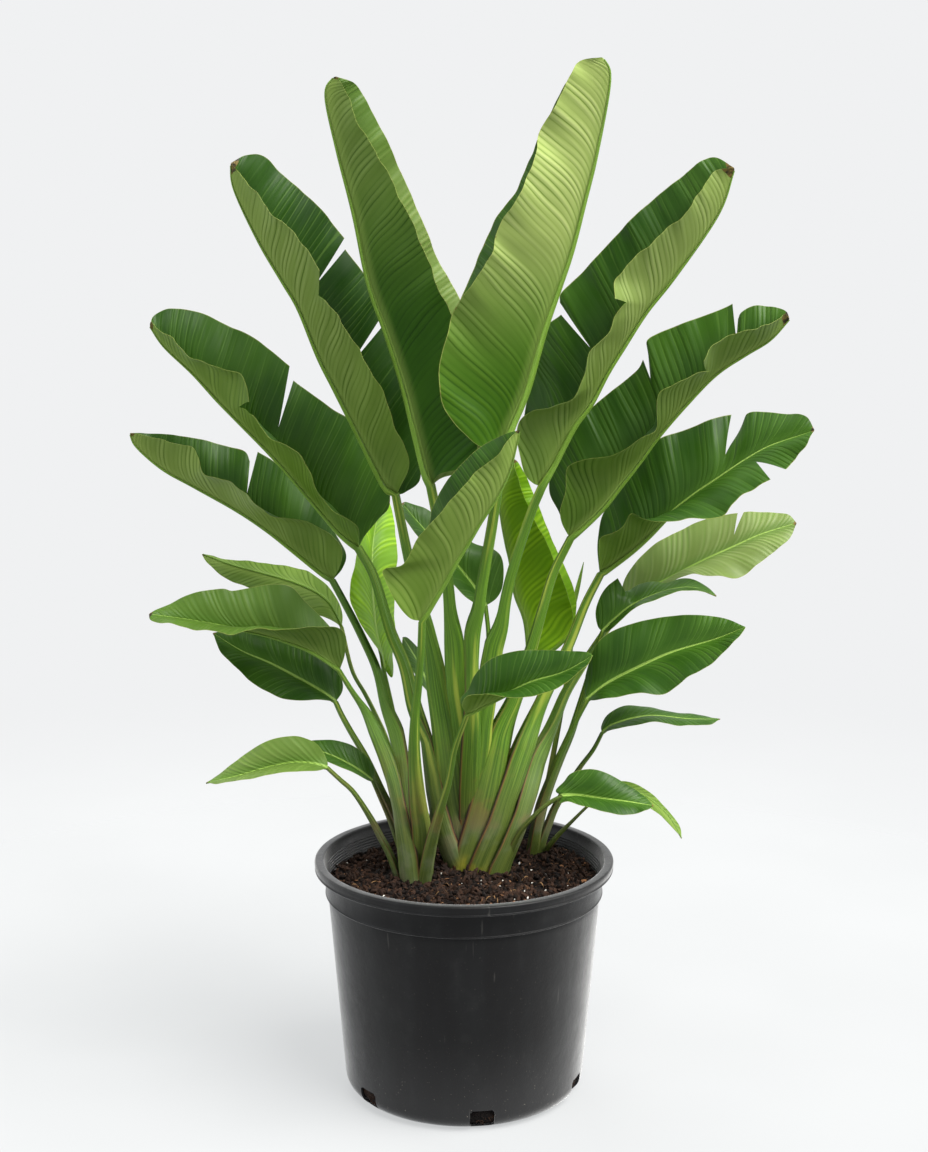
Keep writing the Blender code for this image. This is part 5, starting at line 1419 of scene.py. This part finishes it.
def pot_profile():
    """From the middle of the floor out, up the inside, over the lip, down the outside and back in."""
    under_lip = POT_HEIGHT - LIP_HEIGHT
    inner = wall_radius(HEEL_RADIUS) - WALL
    floor_edge = HEEL_RADIUS * 0.9
    points = [(0.0, WALL), (0.060, WALL)]
    points += arc((inner - floor_edge, WALL + floor_edge), floor_edge, -90, 0, 8)
    for height in np.linspace(0.03, 0.236, 12):
        points.append((wall_radius(height) - WALL, height))
    points.append((COLLAR_RADIUS - WALL - 0.0012, COLLAR_BOTTOM))
    ridge_heights = np.linspace(COLLAR_BOTTOM + 0.003, under_lip + 0.001, 17)
    for number, height in enumerate(ridge_heights):
        share = (height - COLLAR_BOTTOM) / (under_lip - COLLAR_BOTTOM)
        radius = COLLAR_RADIUS + (COLLAR_TOP_RADIUS - COLLAR_RADIUS) * share - WALL
        points.append((radius - (0.0009 if number % 2 else 0.0), height))
    points.append((RIM_RADIUS - 0.0112, POT_HEIGHT - 0.0038))
    points += arc((RIM_RADIUS - 0.0092, POT_HEIGHT - 0.0020), 0.0020, 180, 90, 4)
    points += arc((RIM_RADIUS - 0.0026, POT_HEIGHT - 0.0026), 0.0026, 90, 0, 6)
    points.append((RIM_RADIUS - 0.0002, POT_HEIGHT - 0.0065))
    points.append((RIM_RADIUS - 0.0010, under_lip + 0.0026))
    points += arc((RIM_RADIUS - 0.0014, under_lip + 0.0010), 0.0011, 60, -90, 5)
    points.append((COLLAR_TOP_RADIUS + 0.0006, under_lip))
    points.append((COLLAR_TOP_RADIUS, under_lip - 0.0008))
    points.append((COLLAR_RADIUS + 0.0008, COLLAR_BOTTOM + 0.0120))
    points.append((COLLAR_RADIUS + 0.0001, COLLAR_BOTTOM + 0.0030))
    points += arc((COLLAR_RADIUS - 0.0002, COLLAR_BOTTOM + 0.0012), 0.0011, 60, -90, 5)
    points.append((WALL_TOP_RADIUS + 0.0002, COLLAR_BOTTOM - 0.0006))
    points.append((WALL_TOP_RADIUS, COLLAR_BOTTOM - 0.0020))
    for height in np.linspace(COLLAR_BOTTOM - 0.004, HEEL_RADIUS + 0.002, 14):
        points.append((wall_radius(height), height))
    points += arc((wall_radius(HEEL_RADIUS) - HEEL_RADIUS, HEEL_RADIUS), HEEL_RADIUS, 0, -90, 12)
    foot = BASE_RADIUS - HEEL_RADIUS
    points += [(foot - 0.006, 0.0), (foot - 0.010, 0.0016), (0.050, 0.0016), (0.047, 0.0006), (0.0, 0.0006)]
    return points


def turned(profile, sides):
    """A closed body turned round Z from a profile of (radius, height) that starts and ends on the axis."""
    mesh = bmesh.new()
    verts = [mesh.verts.new((radius, 0.0, height)) for radius, height in profile]
    edges = [mesh.edges.new(pair) for pair in zip(verts, verts[1:])]
    bmesh.ops.spin(
        mesh, geom=[*verts, *edges], cent=(0, 0, 0), axis=(0, 0, 1), angle=math.tau, steps=sides, use_duplicate=False
    )
    bmesh.ops.remove_doubles(mesh, verts=mesh.verts, dist=1e-5)
    bmesh.ops.recalc_face_normals(mesh, faces=mesh.faces)
    return mesh


def make_pot():
    shell = turned(pot_profile(), POT_SIDES)
    data = bpy.data.meshes.new("pot_body")
    shell.to_mesh(data)
    shell.free()
    body = link(bpy.data.objects.new("pot_body_shape", data))
    cutters = []
    for number in range(DRAIN_SLOTS):
        angle = DRAIN_TURN + math.tau * number / DRAIN_SLOTS
        box = bmesh.new()
        bmesh.ops.create_cube(box, size=1.0)
        bmesh.ops.scale(box, vec=(DRAIN_WIDTH, DRAIN_REACH, DRAIN_HEIGHT), verts=box.verts)
        upright = [edge for edge in box.edges if abs(edge.verts[0].co.y - edge.verts[1].co.y) > 1e-4]
        bmesh.ops.bevel(box, geom=upright, offset=0.0022, segments=3, affect="EDGES")
        slot_data = bpy.data.meshes.new("drain_slot")
        box.to_mesh(slot_data)
        box.free()
        cutter = link(bpy.data.objects.new("drain_slot", slot_data))
        out = wall_radius(0.0) - DRAIN_REACH * 0.2
        cutter.location = (math.sin(angle) * out, -math.cos(angle) * out, DRAIN_HEIGHT * 0.5 + 0.0032)
        cutter.rotation_euler.z = angle
        modifier = body.modifiers.new("cut", "BOOLEAN")
        modifier.operation = "DIFFERENCE"
        modifier.solver = "MANIFOLD"
        modifier.object = cutter
        cutters.append(cutter)
    bpy.context.view_layer.update()
    graph = bpy.context.evaluated_depsgraph_get()
    cut = bpy.data.meshes.new_from_object(body.evaluated_get(graph))
    for made in (body, *cutters):
        bpy.data.objects.remove(made)
    cut.materials.clear()
    piece("pot_body", cut, pot_material(), "pot", 38)


def soil_top(x, y, waves):
    """The soil's height: lumps, a lower edge along the wall, a rise round the clumps."""
    radius = np.hypot(x, y)
    height = SOIL_TOP - 0.0045 * smooth(radius, 0.11, 0.165)
    for along, across, phase, size in waves:
        height = height + size * np.sin(along * x + across * y + phase)
    for shoot in SHOOTS.values():
        (cx, cy), (hx, hy) = shoot["centre"], shoot["half"]
        away = np.hypot((x - cx) / (hx + 0.02), (y - cy) / (hy + 0.02))
        height = height + 0.0035 * (1 - smooth(away, 0.5, 1.3))
    return height


def soil_waves(draw):
    found = []
    for size, scale in ((0.0016, 45), (0.0012, 90), (0.0009, 190), (0.0006, 380)):
        for _ in range(4):
            turn = draw.uniform(0, math.tau)
            found.append((scale * math.cos(turn), scale * math.sin(turn), draw.uniform(0, math.tau), size / 2))
    return found


def make_soil(waves):
    """The bed of potting mix: a fine uneven top on a plug that fills the pot."""
    rings, sides = 45, 240
    top_radius = COLLAR_RADIUS - WALL - 0.0022
    points, faces = [], []
    turns = np.arange(sides) * math.tau / sides
    for ring in range(rings + 1):
        radius = top_radius * (ring / rings)
        x, y = radius * np.sin(turns), -radius * np.cos(turns)
        z = soil_top(x, y, waves)
        points += list(zip(x, y, z))
    floor_edge = HEEL_RADIUS * 0.9
    inner = wall_radius(HEEL_RADIUS) - WALL
    sides_of = [(wall_radius(COLLAR_BOTTOM) - WALL - 0.0012, 0.240), (wall_radius(0.04) - WALL - 0.0006, 0.04)]
    sides_of += arc((inner - floor_edge, WALL + floor_edge), floor_edge - 0.0006, 0, -80, 12)
    for radius, height in sides_of:
        bumps = 0.0009 * np.sin(turns * 47 + height * 900) * np.sin(turns * 83 - height * 1500)
        across = radius - 0.0006 + bumps
        points += list(zip(across * np.sin(turns), -across * np.cos(turns), np.full(sides, height)))
    count = rings + 1 + len(sides_of)
    for ring in range(count - 1):
        for i in range(sides):
            j = (i + 1) % sides
            low, high = ring * sides, (ring + 1) * sides
            faces.append((low + i, low + j, high + j, high + i))
    faces.append(tuple(range((count - 1) * sides, count * sides)))
    data = bpy.data.meshes.new("soil_bed")
    data.from_pydata([tuple(map(float, p)) for p in points], [], faces)
    mesh = bmesh.new()
    mesh.from_mesh(data)
    bmesh.ops.remove_doubles(mesh, verts=mesh.verts, dist=1e-6)
    bmesh.ops.recalc_face_normals(mesh, faces=mesh.faces)
    mesh.to_mesh(data)
    mesh.free()
    piece("soil_bed", data, soil_material(), "soil", 60)


def inside_clump(x, y, grow):
    for shoot in SHOOTS.values():
        (cx, cy), (hx, hy) = shoot["centre"], shoot["half"]
        if ((x - cx) / (hx + grow)) ** 2 + ((y - cy) / (hy + grow)) ** 2 < 1:
            return True
    return False


def scatter(draw, waves, count, grow, reach=0.158):
    """Places on the soil, evenly spread and clear of the clumps."""
    found = []
    while len(found) < count:
        radius, turn = reach * math.sqrt(draw.uniform()), draw.uniform(0, math.tau)
        x, y = radius * math.cos(turn), radius * math.sin(turn)
        if not inside_clump(x, y, grow):
            found.append(np.array((x, y, float(soil_top(np.array(x), np.array(y), waves)))))
    return found


def turned_about(draw):
    """A seeded random rotation."""
    q = draw.normal(size=4)
    w, x, y, z = q / np.linalg.norm(q)
    return np.array((
        (1 - 2 * (y * y + z * z), 2 * (x * y - z * w), 2 * (x * z + y * w)),
        (2 * (x * y + z * w), 1 - 2 * (x * x + z * z), 2 * (y * z - x * w)),
        (2 * (x * z - y * w), 2 * (y * z + x * w), 1 - 2 * (x * x + y * y)),
    ))


def add_bits(name, places, draw, sizes, finish, flat, sink=0.2, tilt=1.0):
    """Small angular lumps on the soil, each a dented block of its own size and tone."""
    block = bmesh.new()
    bmesh.ops.create_icosphere(block, subdivisions=1, radius=1.0)
    shape = np.array([v.co[:] for v in block.verts])
    block.verts.index_update()
    corners = [tuple(v.index for v in f.verts) for f in block.faces]
    block.free()
    points, faces, tones = [], [], []
    for place in places:
        size = draw.uniform(*sizes)
        stretch = np.array((draw.uniform(0.7, 1.9), draw.uniform(0.5, 1.0), draw.uniform(*flat)))
        dents = draw.uniform(0.62, 1.12, len(shape))[:, None]
        local = shape * dents * stretch * size / 2
        spin = turned_about(draw)
        if tilt < 1:
            flatten = np.diag((1.0, 1.0, tilt))
            turn = draw.uniform(0, math.tau)
            c, s_ = math.cos(turn), math.sin(turn)
            lean = draw.normal(0, 0.35, 2)
            spin = np.array(((c, -s_, lean[0] * 0.5), (s_, c, lean[1] * 0.5), (-lean[0], -lean[1], 1.0)))
            spin, _ = np.linalg.qr(spin)
        turned_points = local @ spin.T
        rest = place + np.array((0, 0, -turned_points[:, 2].min() * (1 - sink) - size * sink * 0.4))
        start = len(points)
        points += list(turned_points + rest)
        faces += [tuple(start + c for c in f) for f in corners]
        tones += [draw.uniform()] * len(shape)
    data = bpy.data.meshes.new(name)
    data.from_pydata([tuple(map(float, p)) for p in points], [], faces)
    tone = data.attributes.new("tone", "FLOAT", "POINT")
    tone.data.foreach_set("value", np.array(tones, np.float32))
    mesh = bmesh.new()
    mesh.from_mesh(data)
    bmesh.ops.recalc_face_normals(mesh, faces=mesh.faces)
    mesh.to_mesh(data)
    mesh.free()
    piece(name, data, finish, None, 25)


def add_fibres(name, places, draw, waves, lengths, finish):
    """Thin curved fibres that lie on the soil, tapered at both ends."""
    points, faces, tones = [], [], []
    for place in places:
        length, turn = draw.uniform(*lengths), draw.uniform(0, math.tau)
        curl, thick = draw.normal(0, 14.0), draw.uniform(0.00020, 0.0005)
        lift = draw.uniform(0.0, 0.004)
        steps = 7
        walk = place.copy()
        tone = draw.uniform()
        start = len(points)
        for step in range(steps + 1):
            share = step / steps
            ground = float(soil_top(np.array(walk[0]), np.array(walk[1]), waves))
            if math.hypot(walk[0], walk[1]) > 0.160:
                walk[:2] *= 0.160 / math.hypot(walk[0], walk[1])
            z = ground + 0.0012 + lift * math.sin(math.pi * share)
            width = thick * (0.25 + math.sin(math.pi * min(max(share, 0.04), 0.96)))
            across = np.array((-math.sin(turn), math.cos(turn), 0.0)) * width
            centre = np.array((walk[0], walk[1], z))
            points += [centre + across, centre - across * 0.5 + np.array((0, 0, width)), centre - across]
            tones += [tone] * 3
            walk = walk + np.array((math.cos(turn), math.sin(turn), 0.0)) * length / steps
            turn += curl * length / steps
        for step in range(steps):
            for i in range(3):
                j = (i + 1) % 3
                low, high = start + step * 3, start + (step + 1) * 3
                faces.append((low + i, low + j, high + j, high + i))
        faces.append((start, start + 1, start + 2))
        end = start + steps * 3
        faces.append((end, end + 2, end + 1))
    data = bpy.data.meshes.new(name)
    data.from_pydata([tuple(map(float, p)) for p in points], [], faces)
    tone = data.attributes.new("tone", "FLOAT", "POINT")
    tone.data.foreach_set("value", np.array(tones, np.float32))
    mesh = bmesh.new()
    mesh.from_mesh(data)
    bmesh.ops.recalc_face_normals(mesh, faces=mesh.faces)
    mesh.to_mesh(data)
    mesh.free()
    piece(name, data, finish, None, 60)


def make_litter(waves):
    """What lies on the soil: bark chips, crumbs, white perlite and tan fibres."""
    draw = np.random.default_rng(5)
    dark = bits_material("soil_crumb", colour(10, 7, 6), colour(50, 33, 23), 0.95)
    bark = bits_material("bark_chip", colour(28, 17, 12), colour(122, 86, 58), 0.9)
    white = bits_material("perlite_grain", colour(200, 196, 186), colour(244, 242, 236), 0.85)
    straw = bits_material("coir_fibre", colour(58, 38, 24), colour(138, 106, 70), 0.85)
    add_bits("soil_crumbs", scatter(draw, waves, 4400, -0.012), draw, (0.0016, 0.0088), dark, (0.5, 0.9))
    add_bits("bark_chips", scatter(draw, waves, 620, 0.002), draw, (0.0022, 0.0075), bark, (0.18, 0.4), tilt=0.5)
    slot_bits = []
    for number in range(DRAIN_SLOTS):
        for _ in range(34):
            angle = DRAIN_TURN + math.tau * number / DRAIN_SLOTS + draw.normal(0, 0.045)
            height = draw.uniform(0.004, 0.025)
            radius = wall_radius(height) - WALL - 0.0020 - 0.010 * max(1 - height / 0.014, 0.0) ** 2
            slot_bits.append(np.array((radius * math.sin(angle), -radius * math.cos(angle), height)))
    add_bits("drain_slot_crumbs", slot_bits, draw, (0.0014, 0.0042), dark, (0.5, 0.9))
    add_bits("perlite_grains", scatter(draw, waves, 150, 0.002), draw, (0.0012, 0.0038), white, (0.7, 1.0))
    add_fibres("coir_fibres", scatter(draw, waves, 90, 0.002), draw, waves, (0.005, 0.014), straw)


def make_stage():
    """The floor, the soft studio light and the camera that stands where the photographer's did."""
    points = [(math.cos(a) * 2.4, math.sin(a) * 2.4, 0.0) for a in np.arange(96) * math.tau / 96]
    data = bpy.data.meshes.new("studio_floor")
    data.from_pydata(points, [], [tuple(range(96))])
    data.materials.append(floor_material())
    floor = link(bpy.data.objects.new("studio_floor", data))
    floor.location.z = -0.0006

    world = bpy.data.worlds.new("studio_white")
    world.use_nodes = True
    ground = world.node_tree.nodes["Background"]
    ground.inputs["Color"].default_value = colour(240, 241, 242)
    ground.inputs["Strength"].default_value = 1.0
    bpy.context.scene.world = world

    for name, way, strength, width, tint in LIGHTS:
        lamp = bpy.data.lights.new(name, "SUN")
        lamp.energy = strength
        lamp.angle = math.radians(width)
        lamp.color = tint
        made = link(bpy.data.objects.new(name, lamp))
        made.location = way
        made.rotation_euler = Vector(way).to_track_quat("Z", "Y").to_euler()
        made.visible_glossy = name != "back_light"

    lens = bpy.data.cameras.new("camera")
    lens.sensor_fit = "VERTICAL"
    lens.sensor_height = 36.0
    lens.lens = 36.0 * EYE_FOCAL / FRAME_HEIGHT
    camera = link(bpy.data.objects.new("camera", lens))
    camera.location = EYE
    camera.rotation_euler = (math.pi / 2 - EYE_PITCH, 0.0, 0.0)
    bpy.context.scene.camera = camera
    bpy.context.scene.view_settings.view_transform = "Standard"


upper_skin = blade_material(
    "leaf_upper",
    (colour(30, 62, 11), colour(46, 80, 15), colour(68, 104, 30)),
    (colour(96, 132, 52), 0.40, False),
    0.0005,
    (0.42, 0.17),
    0.20,
)
lower_skin = blade_material(
    "leaf_lower",
    (colour(80, 108, 34), colour(94, 122, 42), colour(130, 154, 74)),
    (colour(150, 170, 118), 0.85, True),
    0.0003,
    (0.50, 0.13),
    0.30,
)
stalk_skin = stalk_material()

stalk_feet = {name: [] for name in SHOOTS}
for leaf_number, (leaf_name, leaf_facts) in enumerate(LEAVES.items()):
    make_leaf(leaf_name, leaf_facts, leaf_number, stalk_feet)
make_spear(SPEAR, len(LEAVES), stalk_feet)
for shoot_name, shoot_feet in stalk_feet.items():
    make_clump(shoot_name, shoot_feet)
make_pot()
soil_lumps = soil_waves(np.random.default_rng(3))
make_soil(soil_lumps)
make_litter(soil_lumps)
make_stage()
